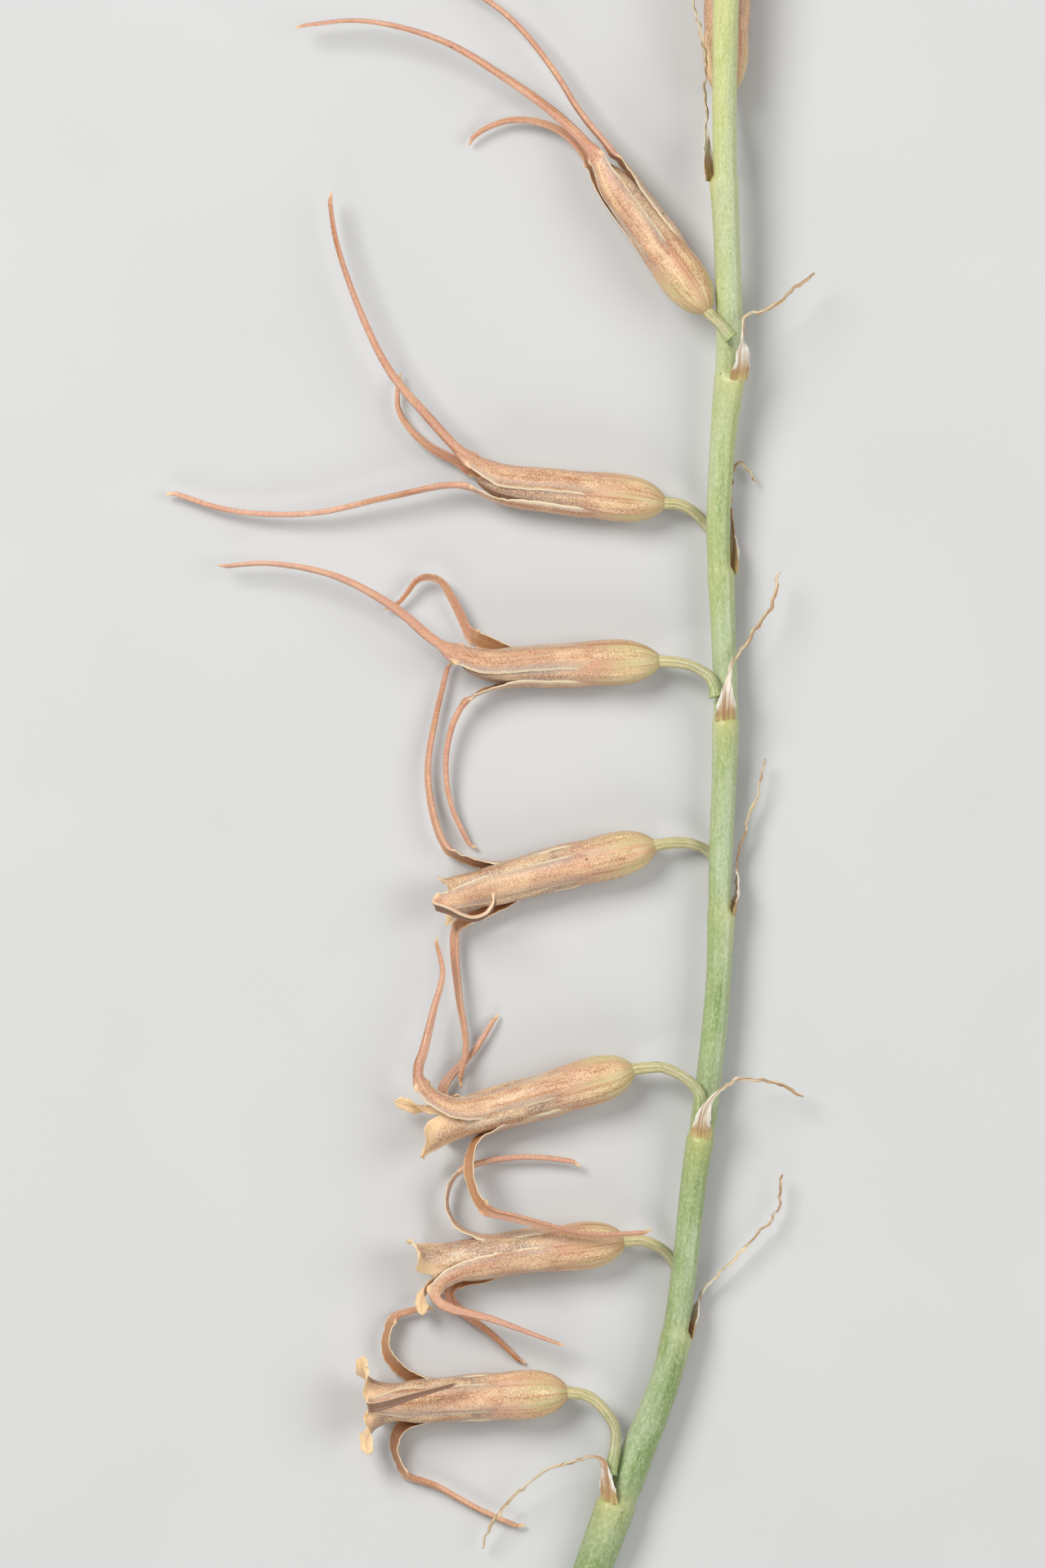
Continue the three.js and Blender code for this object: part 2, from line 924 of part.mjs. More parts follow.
// A closed strap along a curve. sectionAt gives its width, thickness and crosswise curvature at a
// length along it, and facing is the way that its outer face looks at the start.
function strapGeometry(curve, facing, sectionAt) {
  const length = curve.getLength();
  const rings = [];
  const outward = facing.clone();
  const across = [-1, -1 / 3, 1 / 3, 1];
  const traceRings = new Set(ringShares(curve).map((share) => Math.round(share * TRACE_STEPS)));
  for (let i = 0; i <= TRACE_STEPS; i += 1) {
    const share = i / TRACE_STEPS;
    const way = curve.getTangentAt(share);
    outward.addScaledVector(way, -outward.dot(way)).normalize();
    if (!traceRings.has(i)) continue;
    const centre = curve.getPointAt(share);
    const lateral = new THREE.Vector3().crossVectors(way, outward);
    const { width, thickness, curvature } = sectionAt(share * length);
    const at = (place, side) => {
      const x = (place * width) / 2;
      const edge = Math.abs(place) === 1 ? STRAP_EDGE : 1;
      return centre
        .clone()
        .addScaledVector(lateral, x)
        .addScaledVector(outward, (side * edge * thickness) / 2 - (curvature * x * x) / 2);
    };
    rings.push([
      ...across.map((place) => at(place, 1)),
      ...across.toReversed().map((place) => at(place, -1)),
    ]);
  }
  return loft(strapMiddle(rings[0]), rings, strapMiddle(rings.at(-1)));
}

// The middle of a strap's section, between the two inner points of each face.
function strapMiddle(ring) {
  const inner = [ring[1], ring[2], ring[5], ring[6]];
  const sum = inner.reduce((total, corner) => total.add(corner), new THREE.Vector3());
  return sum.divideScalar(inner.length);
}

// An outer tepal: a blade laid along the tube, which parts from it and narrows to a knee, and the
// tail that grows from there.
function tepalGeometry(flower, frame, tepal) {
  const out = frame.radial(tepal.clock);
  const free = TUBE.free * flower.girth;
  const lie = free + CLEARANCE + BLADE.thickness / 2;
  const start = TUBE.shoulder + (2 * CLEARANCE) / frame.length;
  const onTube = (share) => frame.along(share).addScaledVector(out, lie);
  const middle = (start + tepal.leaves) / 2;
  const points = [onTube(start), onTube(middle), onTube(tepal.leaves)];
  points.push(...tepal.route.map(point));
  const curve = smoothCurve(points);
  const lengthTo = (count) => smoothCurve(points.slice(0, count)).getLength();
  const parts = lengthTo(3);
  const knee = lengthTo(4 + tepal.knee);
  const whole = curve.getLength();
  const sectionAt = (s) => {
    const opened = (s - parts) / (knee - parts);
    const run = (s - knee) / (whole - knee);
    if (s <= knee) {
      return {
        width: mix(BLADE.width * flower.girth, BLADE.kneeWidth, opened),
        thickness: BLADE.thickness,
        curvature: mix(1 / lie, BLADE.kneeCurvature, opened),
      };
    }
    return {
      width: mix(TAIL.width, TAIL.tipWidth, run),
      thickness: mix(TAIL.thickness, TAIL.tipThickness, run),
      curvature: 0,
    };
  };
  return strapGeometry(curve, out, sectionAt);
}

// A bract: a sheath that clasps the stem under a pedicel, drawn out into a thread.
function bractGeometry(bract) {
  const curve = smoothCurve(bract.route.map(point));
  const whole = curve.getLength();
  const sheath = Math.min(BRACT.sheath, BRACT.sheathShare * whole);
  const sectionAt = (s) => {
    const drawn = Math.sqrt(THREE.MathUtils.clamp(s / sheath, 0, 1));
    return {
      width: mix(BRACT.width, BRACT.threadWidth, drawn * drawn * drawn),
      thickness: BRACT.thickness,
      curvature: mix(BRACT.clasp, 0, drawn),
    };
  };
  return strapGeometry(curve, point(bract.faces).normalize(), sectionAt);
}

// A closed bud: a spindle that swells above its foot and narrows into a beak.
function budGeometry(bud) {
  const foot = point(bud.pedicel.at(-1));
  const frame = flowerFrame(foot, point(bud.beak));
  const ring = ([share, radius]) => tubeRing(frame, 0, share, radius * bud.girth);
  const rings = BUD_PROFILE.map(ring);
  return loft(frame.along(0), rings, frame.along(1));
}

// ---- the spike ----

function piece(name, geometry, finish) {
  const mesh = new THREE.Mesh(geometry, finish);
  mesh.name = name;
  return mesh;
}

function flowerGroup(flower, number) {
  const group = new THREE.Group();
  const foot = point(flower.pedicel.at(-1));
  const frame = flowerFrame(foot, point(flower.throat));
  group.add(piece(`pedicel_${number}`, stalkGeometry(flower.pedicel, 1), MATERIALS.pedicel));
  group.add(piece(`perianth_tube_${number}`, tubeGeometry(flower, frame), MATERIALS.tube));
  for (const tepal of flower.tepals) {
    const name = `outer_tepal_${number}_${tepal.side}`;
    group.add(piece(name, tepalGeometry(flower, frame, tepal), MATERIALS.tepal));
  }
  group.add(piece(`bract_${number}`, bractGeometry(flower.bract), MATERIALS.bract));
  return group;
}

function budGroup(bud, number) {
  const group = new THREE.Group();
  const stalk = stalkGeometry(bud.pedicel, PEDICEL.young * bud.girth);
  group.add(piece(`pedicel_${number}`, stalk, MATERIALS.pedicel));
  group.add(piece(`bud_${number}`, budGeometry(bud), MATERIALS.bud));
  group.add(piece(`bract_${number}`, bractGeometry(bud.bract), MATERIALS.bract));
  return group;
}

const spike = new THREE.Group();
spike.add(piece("stem", stemGeometry(), MATERIALS.stem));
FLOWERS.forEach((flower, i) => spike.add(flowerGroup(flower, i + 1)));
BUDS.forEach((bud, i) => spike.add(budGroup(bud, FLOWERS.length + i + 1)));

// The origin goes to the middle of the outline, on the surface that the spike lies on.
const outline = new THREE.Box3().setFromObject(spike);
const centre = outline.getCenter(new THREE.Vector3());
spike.position.set(-centre.x, -centre.y, -outline.min.z);

export default spike;
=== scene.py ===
"""Dipcadi flower spike: the fine surface of a cut spike that lies on its side.

Every piece is grown on the frame's solid of the same name: the solid's rings give its middle line
and its section, and a finer skin with ribs, margins and frills is laid over them. Lengths in the
modelling code are millimetres, and meshes are written in metres.
"""

import math

import bpy
import numpy as np
from bpy.props import FloatProperty, FloatVectorProperty, IntProperty, PointerProperty
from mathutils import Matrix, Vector


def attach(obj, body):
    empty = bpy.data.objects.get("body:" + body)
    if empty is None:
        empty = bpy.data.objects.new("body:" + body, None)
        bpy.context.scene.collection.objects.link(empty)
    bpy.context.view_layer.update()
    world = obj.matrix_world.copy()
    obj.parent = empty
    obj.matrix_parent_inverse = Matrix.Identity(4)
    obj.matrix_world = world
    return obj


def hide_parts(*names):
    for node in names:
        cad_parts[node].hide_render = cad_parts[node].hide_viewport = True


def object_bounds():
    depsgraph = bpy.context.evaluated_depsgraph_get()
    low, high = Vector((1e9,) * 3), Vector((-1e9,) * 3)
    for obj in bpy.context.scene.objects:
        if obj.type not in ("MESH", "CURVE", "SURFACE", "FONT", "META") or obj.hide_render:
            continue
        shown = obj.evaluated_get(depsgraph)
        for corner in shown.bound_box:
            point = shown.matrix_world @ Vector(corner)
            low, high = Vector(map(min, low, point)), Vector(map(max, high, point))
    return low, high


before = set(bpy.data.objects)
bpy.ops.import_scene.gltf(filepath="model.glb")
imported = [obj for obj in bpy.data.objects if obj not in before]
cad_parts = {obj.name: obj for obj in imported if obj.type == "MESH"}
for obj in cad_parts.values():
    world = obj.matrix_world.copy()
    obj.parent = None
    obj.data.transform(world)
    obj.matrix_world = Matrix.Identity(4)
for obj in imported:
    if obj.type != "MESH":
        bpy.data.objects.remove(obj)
CAD_BOX = [list(corner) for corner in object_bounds()]

bl_info = {
    "name": "Dipcadi Flower Spike",
    "version": (1, 0, 0),
    "blender": (4, 5, 0),
    "location": "View3D > Sidebar > Flower Spike",
    "description": "Builds the fine surface of a dipcadi flower spike on its frame",
    "category": "Add Mesh",
}

MM = 0.001
STRAP_SIDES = 8  # corners of a ring on the frame's straps and stalks
STEM_SIDES = 10
TUBE_SIDES = 12
THROAT_RING = 7  # the ring of an open tube where its inner tepals come free
LIP_RINGS = 4  # rings of an inner tepal's free end, the throat's among them
FUSED_RING = 3  # a ring in the swollen part of a tube
SEED_OFFSET = 7.3  # parts the grain of two pieces whose seeds differ by one

# rings along a piece, and points round or across it
STEM_MESH = (720, 64)
PEDICEL_MESH = (60, 32)
LIP_MESH = (90, 25)
BRACT_MESH = (130, 17)
TEPAL_ACROSS = 21

# skin radius at shares of the length, in shares of the girth
OPEN_PROFILE = (
    (0, 0.24), (0.012, 0.38), (0.04, 0.6), (0.08, 0.78), (0.14, 0.93), (0.21, 1.0), (0.3, 0.99),
    (0.37, 0.94), (0.47, 0.88), (0.62, 0.84), (0.8, 0.82), (0.92, 0.8), (1.0, 0.78),
)
CLOSED_PROFILE = (
    (0, 0.24), (0.012, 0.38), (0.04, 0.58), (0.08, 0.76), (0.14, 0.92), (0.21, 1.0), (0.3, 0.99),
    (0.37, 0.94), (0.47, 0.88), (0.62, 0.84), (0.78, 0.78), (0.9, 0.58), (0.97, 0.3), (1.0, 0.06),
)
BUD_PROFILE = (
    (0, 0.25), (0.02, 0.5), (0.07, 0.78), (0.15, 0.95), (0.25, 1.0), (0.4, 0.96), (0.52, 0.82),
    (0.62, 0.6), (0.72, 0.36), (0.85, 0.22), (0.97, 0.16), (1.0, 0.08),
)

# shares of the spike's outline that the camera looks at: it leaves out the cut end and the tip
AIM = (0.496, 0.442)
BOARD_HALF = 3.0
# name, share of the key light's power, size, and place seen from the aim
LIGHTS = (
    ("key light", 1.0, 0.35, (-0.32, 0.3, 0.5)),
    ("fill light", 0.45, 0.45, (0.45, 0.05, 0.45)),
    ("low light", 0.25, 0.3, (-0.1, -0.5, 0.3)),
)


# ---- reading the frame's solids ----


def weld(node):
    """A node's distinct corners, in millimetres, and the neighbours of each."""
    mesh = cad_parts[node].data
    corners = np.array([vertex.co[:] for vertex in mesh.vertices]) / MM
    corners, index = np.unique(np.round(corners, 4), axis=0, return_inverse=True)
    index = index.reshape(-1)
    neighbours = [set() for _ in corners]
    for edge in mesh.edges:
        a, b = (int(index[v]) for v in edge.vertices)
        if a != b:
            neighbours[a].add(b)
            neighbours[b].add(a)
    return corners, neighbours


def is_pole(corner, neighbours, sides):
    """Whether a corner closes a ring of that many sides."""
    ring = neighbours[corner]
    return len(ring) == sides and all(len(neighbours[i] & ring) == 2 for i in ring)


def next_ring(ring, layer, corners, neighbours):
    """The corners of the next layer, in the order of the ring before it."""
    sides = len(ring)
    place = {corner: i for i, corner in enumerate(ring)}
    by_gap = [None] * sides
    for corner in layer:
        i, j = sorted(place[n] for n in neighbours[corner] if n in place)
        by_gap[i if j == i + 1 else j] = corner
    choices = [by_gap, by_gap[-1:] + by_gap[:-1]]
    return min(choices, key=lambda c: np.sum((corners[c] - corners[ring]) ** 2))


def ring_stack(node, sides):
    """The rings of a lofted node, with the point that closes each end."""
    corners, neighbours = weld(node)
    pole = next(i for i in range(len(corners)) if is_pole(i, neighbours, sides))
    layer = sorted(neighbours[pole])
    ring = [layer[0]]
    while len(ring) < sides:
        ring.append(next(i for i in layer if i in neighbours[ring[-1]] and i not in ring))
    rings = [ring]
    seen = {pole, *ring}
    while True:
        layer = sorted({j for i in rings[-1] for j in neighbours[i]} - seen)
        if len(layer) < sides:
            break
        rings.append(next_ring(rings[-1], layer, corners, neighbours))
        seen.update(layer)
    return corners[pole], corners[np.array(rings)], corners[layer[0]]


def started_near(stack, point):
    """The same rings, from the end that is nearer to a point."""
    first, rings, last = stack
    if np.linalg.norm(first - point) <= np.linalg.norm(last - point):
        return stack
    return last, rings[::-1], first


# ---- curves ----


def unit(vectors):
    return vectors / np.linalg.norm(vectors, axis=-1, keepdims=True)


def square_to(vectors, way):
    """The part of each vector that is square to its way, at length 1."""
    return unit(vectors - way * np.sum(vectors * way, axis=-1, keepdims=True))


def step_up(low, high, x):
    """0 below low, 1 above high, and smooth between."""
    t = np.clip((np.asarray(x, float) - low) / (high - low), 0, 1)
    return t * t * (3 - 2 * t)


def bell(x, middle, width):
    return np.exp(-(((x - middle) / width) ** 2))


def profile(stops, at):
    """Values between the stops of a profile."""
    places, values = zip(*stops)
    return np.interp(at, places, values)


def lengths_along(points):
    return np.concatenate([[0], np.cumsum(np.linalg.norm(np.diff(points, axis=0), axis=1))])


def smooth_through(knots, values, at):
    """Values at new places on a smooth curve through the values at the knots."""
    values = np.asarray(values, float)
    slopes = np.gradient(values, knots, axis=0)
    at = np.clip(at, knots[0], knots[-1])
    i = np.clip(np.searchsorted(knots, at, side="right") - 1, 0, len(knots) - 2)
    span = knots[i + 1] - knots[i]
    t = (at - knots[i]) / span
    shape = (-1,) + (1,) * (values.ndim - 1)
    t, span = t.reshape(shape), span.reshape(shape)
    a, b = values[i], values[i + 1]
    return (
        (1 + 2 * t) * (1 - t) ** 2 * a
        + t * (1 - t) ** 2 * span * slopes[i]
        + t * t * (3 - 2 * t) * b
        + t * t * (t - 1) * span * slopes[i + 1]
    )


def wobble(x, seed, waves=5):
    """A smooth irregular curve between about -1 and 1, the same for the same seed."""
    draws = np.random.default_rng(seed)
    total = np.zeros_like(np.asarray(x, float))
    for wave in range(waves):
        pitch = (1 + wave) * draws.uniform(0.75, 1.25)
        total = total + np.sin(pitch * x + draws.uniform(0, 2 * math.pi)) / (1 + 0.5 * wave)
    return total / 2.2


# ---- skins ----


class Shell:
    """A closed skin: its points, its faces and what its finish reads at each point."""

    def __init__(self, points, faces, reads):
        self.points = points
        self.faces = faces
        self.reads = reads


def loft(rings, first, last, **reads):
    """A closed skin over rings of points, with a point that closes each end."""
    count, sides = rings.shape[:2]
    points = np.concatenate([[first], rings.reshape(-1, 3), [last]])
    corner = 1 + np.arange(count * sides).reshape(count, sides)
    beside = np.roll(corner, -1, axis=1)
    quads = np.stack([corner[:-1], beside[:-1], beside[1:], corner[1:]], axis=-1)
    end = len(points) - 1
    start_fan = [(0, int(b), int(a)) for a, b in zip(corner[0], beside[0])]
    end_fan = [(end, int(a), int(b)) for a, b in zip(corner[-1], beside[-1])]
    faces = start_fan + [tuple(q) for q in quads.reshape(-1, 4).tolist()] + end_fan
    a, b, c = (points[quads.reshape(-1, 4)[:, i]] for i in range(3))
    d = points[quads.reshape(-1, 4)[:, 3]]
    volume = np.sum(a * np.cross(b, c)) + np.sum(a * np.cross(c, d))
    if volume < 0:
        faces = [face[::-1] for face in faces]
    read = {}
    for name, values in reads.items():
        values = np.broadcast_to(values, rings.shape[:2] + np.shape(values)[2:])
        flat = values.reshape((count * sides,) + values.shape[2:])
        read[name] = np.concatenate([[values[0].mean(axis=0)], flat, [values[-1].mean(axis=0)]])
    return Shell(points, faces, read)


def make_piece(name, shells, material, node):
    """One Blender object from one or more skins. It stands for its node and rides on the spike."""
    points, faces, start = [], [], 0
    for shell in shells:
        points.append(shell.points)
        faces += [tuple(i + start for i in face) for face in shell.faces]
        start += len(shell.points)
    points = np.concatenate(points)
    points[:, 2] = np.maximum(points[:, 2], CAD_BOX[0][2] / MM + 0.005)
    mesh = bpy.data.meshes.new(name)
    mesh.from_pydata((points * MM).tolist(), [], faces)
    for key in shells[0].reads:
        values = np.concatenate([shell.reads[key] for shell in shells])
        kind, field = ("FLOAT_VECTOR", "vector") if values.ndim == 2 else ("FLOAT", "value")
        read = mesh.attributes.new(key, kind, "POINT")
        read.data.foreach_set(field, values.reshape(-1).astype(np.float32))
    mesh.validate()
    mesh.shade_smooth()
    mesh.materials.append(material)
    piece = bpy.data.objects.new(name, mesh)
    bpy.context.scene.collection.objects.link(piece)
    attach(piece, "root")
    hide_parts(node)
    return piece


# ---- what the solids say ----


class Stalk:
    """A round solid's middle line and radius, from its foot."""

    def __init__(self, stack, reach=0.0):
        _, rings, _ = stack
        middles = rings.mean(axis=1)
        radii = np.linalg.norm(rings - middles[:, None], axis=2).mean(axis=1)
        if reach:
            beyond = middles[-1] + reach * unit(middles[-1] - middles[-2])
            middles = np.concatenate([middles, [beyond]])
            radii = np.concatenate([radii, radii[-1:]])
        self.knots = lengths_along(middles)
        self.middles = middles
        self.radii = radii
        self.length = self.knots[-1]

    def at(self, s):
        """Middle, way, two directions across it and radius at lengths from the foot."""
        middle = smooth_through(self.knots, self.middles, s)
        ahead = smooth_through(self.knots, self.middles, s + 0.02)
        behind = smooth_through(self.knots, self.middles, s - 0.02)
        way = unit(ahead - behind)
        up = np.broadcast_to([0.0, 0.0, 1.0], way.shape)
        across = unit(np.cross(way, up))
        over = np.cross(across, way)
        radius = smooth_through(self.knots, self.radii, s)
        return middle, way, across, over, radius


class Strap:
    """A flat solid's middle line, directions, width and crosswise curvature, from its broad end."""

    def __init__(self, node, lead=0.0):
        _, rings, _ = ring_stack(node, STRAP_SIDES)
        girth = [np.linalg.norm(r - np.roll(r, 1, axis=0), axis=1).sum() for r in rings]
        if girth[0] < girth[-1]:
            rings = rings[::-1]
        edges = np.linalg.norm(rings - np.roll(rings, -1, axis=1), axis=2).sum(axis=0)
        thin = int(np.argmin(edges[:4] + edges[4:]))
        rings = np.roll(rings, -(thin + 1), axis=1)
        face, back = rings[:, :4], rings[:, 7:3:-1]
        bulge = (face[0, 1] + face[0, 2] - face[0, 0] - face[0, 3]) / 2
        if np.dot(bulge, face[0].mean(axis=0) - back[0].mean(axis=0)) < 0:
            face, back = back, face
        middles = (face[:, 1:3].sum(axis=1) + back[:, 1:3].sum(axis=1)) / 4
        lateral = unit(face[:, 3] - face[:, 0])
        outward = square_to(face[:, 1:3].sum(axis=1) - back[:, 1:3].sum(axis=1), lateral)
        widths = np.linalg.norm(face[:, 3] - face[:, 0], axis=1)
        drop = (face[:, 1] + face[:, 2] - face[:, 0] - face[:, 3]) / 2
        curvatures = 9 * np.sum(drop * outward, axis=1) / widths**2
        if lead:
            start = middles[0] - lead * unit(middles[1] - middles[0])
            middles = np.concatenate([[start], middles])
            lateral = np.concatenate([lateral[:1], lateral])
            outward = np.concatenate([outward[:1], outward])
            widths = np.concatenate([widths[:1], widths])
            curvatures = np.concatenate([curvatures[:1], curvatures])
        self.knots = lengths_along(middles) - lead
        self.middles, self.lateral, self.outward = middles, lateral, outward
        self.widths, self.curvatures = widths, curvatures
        self.length = self.knots[-1]

    def last_wider_than(self, width):
        """The length along the strap where it stops being wider than this."""
        return self.knots[np.nonzero(self.widths > width)[0][-1]]

    def at(self, s):
        """Middle, lateral and outward directions, width and curvature at lengths along it."""
        middle = smooth_through(self.knots, self.middles, s)
        ahead = smooth_through(self.knots, self.middles, s + 0.03)
        behind = smooth_through(self.knots, self.middles, s - 0.03)
        way = unit(ahead - behind)
        outward = square_to(smooth_through(self.knots, self.outward, s), way)
        lateral = np.cross(way, outward)
        flip = np.sign(np.sum(lateral[0] * self.lateral[0]))
        width = smooth_through(self.knots, self.widths, s)
        curvature = smooth_through(self.knots, self.curvatures, s)
        return middle, lateral * flip, outward, width, curvature


def flat_section(across_count):
    """Places across a strap's two faces, once round it: -1 to 1 and back, and which face."""
    outer = -np.cos(np.linspace(0, math.pi, across_count))
    across = np.concatenate([outer, outer[-2:0:-1]])
    inside = np.concatenate([np.zeros(across_count), np.ones(across_count - 2)])
    return across, inside


def arc_place(across, width, curvature):
    """Sideways place and drop of a point across a strap that is curved crosswise."""
    bend = np.where(np.abs(curvature) < 1e-3, 1e-3, curvature)
    angle = across * width / 2 * bend
    return np.sin(angle) / bend, -(1 - np.cos(angle)) / bend


# ---- finishes ----


class Finish:
    """A node material whose colour and relief follow what the skin carries."""

    def __init__(self, name, roughness, soft=0.0, coat=0.0, sheen=0.0):
        self.material = bpy.data.materials.new(name)
        self.material.use_nodes = True
        self.nodes = self.material.node_tree.nodes
        self.links = self.material.node_tree.links
        self.shader = self.nodes["Principled BSDF"]
        self.shader.inputs["Roughness"].default_value = roughness
        self.shader.inputs["Coat Weight"].default_value = coat
        self.shader.inputs["Coat Roughness"].default_value = 0.3
        self.shader.inputs["Sheen Weight"].default_value = sheen
        if soft:
            self.shader.inputs["Subsurface Weight"].default_value = soft
            self.shader.inputs["Subsurface Radius"].default_value = (1.0, 0.55, 0.3)
            self.shader.inputs["Subsurface Scale"].default_value = 0.4 * MM

    def read(self, name):
        node = self.nodes.new("ShaderNodeAttribute")
        node.attribute_name = name
        return node.outputs["Vector" if name == "flow" else "Fac"]

    def stretched(self, scale):
        """The skin's own coordinates, scaled across, along and from piece to piece."""
        node = self.nodes.new("ShaderNodeVectorMath")
        node.operation = "MULTIPLY"
        self.links.new(self.read("flow"), node.inputs[0])
        node.inputs[1].default_value = scale
        return node.outputs["Vector"]

    def noise(self, scale, detail=3.0, roughness=0.55):
        node = self.nodes.new("ShaderNodeTexNoise")
        node.inputs["Scale"].default_value = 1.0
        node.inputs["Detail"].default_value = detail
        node.inputs["Roughness"].default_value = roughness
        self.links.new(self.stretched(scale), node.inputs["Vector"])
        return node.outputs["Fac"]

    def cells(self, scale):
        """Distance from the middle of irregular cells."""
        node = self.nodes.new("ShaderNodeTexVoronoi")
        node.inputs["Scale"].default_value = 1.0
        self.links.new(self.stretched(scale), node.inputs["Vector"])
        return node.outputs["Distance"]

    def curve(self, value, *stops):
        """A grey value from another: each stop is (value, grey)."""
        return self.ramp(value, *[(at, (grey, grey, grey)) for at, grey in stops])

    def ramp(self, value, *stops):
        """A colour from a value: each stop is (value, colour)."""
        node = self.nodes.new("ShaderNodeValToRGB")
        elements = node.color_ramp.elements
        while len(elements) < len(stops):
            elements.new(1.0)
        for element, (at, colour) in zip(elements, stops):
            element.position = at
            element.color = (*colour, 1.0)
        self.links.new(value, node.inputs["Fac"])
        return node.outputs["Color"]

    def math(self, operation, a, b):
        node = self.nodes.new("ShaderNodeMath")
        node.operation = operation
        for socket, value in zip(node.inputs, (a, b)):
            if isinstance(value, (int, float)):
                socket.default_value = value
            else:
                self.links.new(value, socket)
        return node.outputs["Value"]

    def blend(self, share, under, over):
        """One colour over another, by a share."""
        node = self.nodes.new("ShaderNodeMix")
        node.data_type = "RGBA"
        for key, value in ((0, share), (6, under), (7, over)):
            socket = node.inputs[key]
            if isinstance(value, bpy.types.NodeSocket):
                self.links.new(value, socket)
            elif isinstance(value, (int, float)):
                socket.default_value = value
            else:
                socket.default_value = (*value, 1.0)
        return node.outputs[2]

    def relief(self, height, depth, before=None):
        """Raises the surface by a height of 0 to 1, times a depth in millimetres."""
        node = self.nodes.new("ShaderNodeBump")
        node.inputs["Strength"].default_value = 1.0
        node.inputs["Distance"].default_value = depth * MM
        self.links.new(height, node.inputs["Height"])
        if before is not None:
            self.links.new(before, node.inputs["Normal"])
        return node.outputs["Normal"]

    def done(self, colour, normal=None):
        self.links.new(colour, self.shader.inputs["Base Color"])
        if normal is not None:
            self.links.new(normal, self.shader.inputs["Normal"])
        return self.material


def stem_finish(colours):
    """Green skin, mottled lengthwise, with painted shade in a band along its top, a pale waxy bloom and a
    few dark specks.
    """
    finish = Finish("stem skin", roughness=0.45, soft=0.15, coat=0.12)
    along = finish.read("along")
    base = finish.ramp(
        along, (0.0, colours.stem_low), (0.45, colours.stem_middle), (0.82, colours.stem_top)
    )
    streaks = finish.noise((4.2, 0.4, 1.0), detail=5, roughness=0.7)
    streak_share = finish.curve(streaks, (0.42, 0.0), (0.62, 1.0))
    streak_share = finish.math("MULTIPLY", streak_share, finish.read("stripe"))
    fading = finish.curve(along, (0.1, 1.0), (0.75, 0.3))
    # painted shade: the band along the stem's top is darkened towards the streak colour, less towards the
    # tip
    shade = finish.math("MULTIPLY", finish.math("MULTIPLY", finish.read("stripe"), 0.4), fading)
    base = finish.blend(shade, base, colours.stem_streak_and_shade)
    streak_share = finish.math("MULTIPLY", streak_share, fading)
    colour = finish.blend(streak_share, base, colours.stem_streak_and_shade)
    bloom = finish.noise((0.55, 0.12, 1.0), detail=2)
    bloom = finish.curve(bloom, (0.42, 0.0), (0.62, 0.6))
    colour = finish.blend(bloom, colour, colours.stem_bloom)
    grain = finish.noise((9.0, 3.5, 1.0), detail=4, roughness=0.8)
    colour = finish.blend(finish.curve(grain, (0.5, 0.0), (0.68, 0.55)), colour, colours.stem_pale)
    colour = finish.blend(finish.curve(grain, (0.3, 0.55), (0.46, 0.0)), colour, colours.stem_streak_and_shade)
    colour = finish.blend(finish.read("node"), colour, colours.stem_node)
    specks = finish.curve(finish.cells((1.1, 0.8, 1.0)), (0.035, 1.0), (0.06, 0.0))
    colour = finish.blend(finish.math("MULTIPLY", specks, 0.8), colour, (0.03, 0.035, 0.01))
    cut = finish.curve(finish.read("cut"), (0.45, 0.0), (0.55, 1.0))
    vessels = finish.curve(finish.cells((5.5, 5.5, 1.0)), (0.12, 1.0), (0.3, 0.0))
    pith = finish.blend(vessels, colours.stem_pith, colours.stem_streak_and_shade)
    colour = finish.blend(cut, colour, pith)
    normal = finish.relief(streaks, 0.03)
    normal = finish.relief(grain, 0.012, normal)
    return finish.done(colour, normal)


def pedicel_finish(colours):
    """Green at the stem and cream-tan at the flower, with fine lengthwise lines."""
    finish = Finish("pedicel skin", roughness=0.48, soft=0.2, coat=0.08)
    along = finish.read("along")
    base = finish.ramp(along, (0.0, colours.stem_middle), (0.35, colours.pedicel), (1.0, colours.foot))
    lines = finish.noise((9.0, 0.9, 1.0), detail=4, roughness=0.6)
    colour = finish.blend(finish.curve(lines, (0.48, 0.0), (0.7, 0.7)), base, colours.stem_streak_and_shade)
    grain = finish.cells((9.0, 6.0, 1.0))
    colour = finish.blend(finish.curve(grain, (0.1, 0.35), (0.45, 0.0)), colour, colours.cream)
    normal = finish.relief(grain, 0.02)
    return finish.done(colour, finish.relief(lines, 0.02, normal))


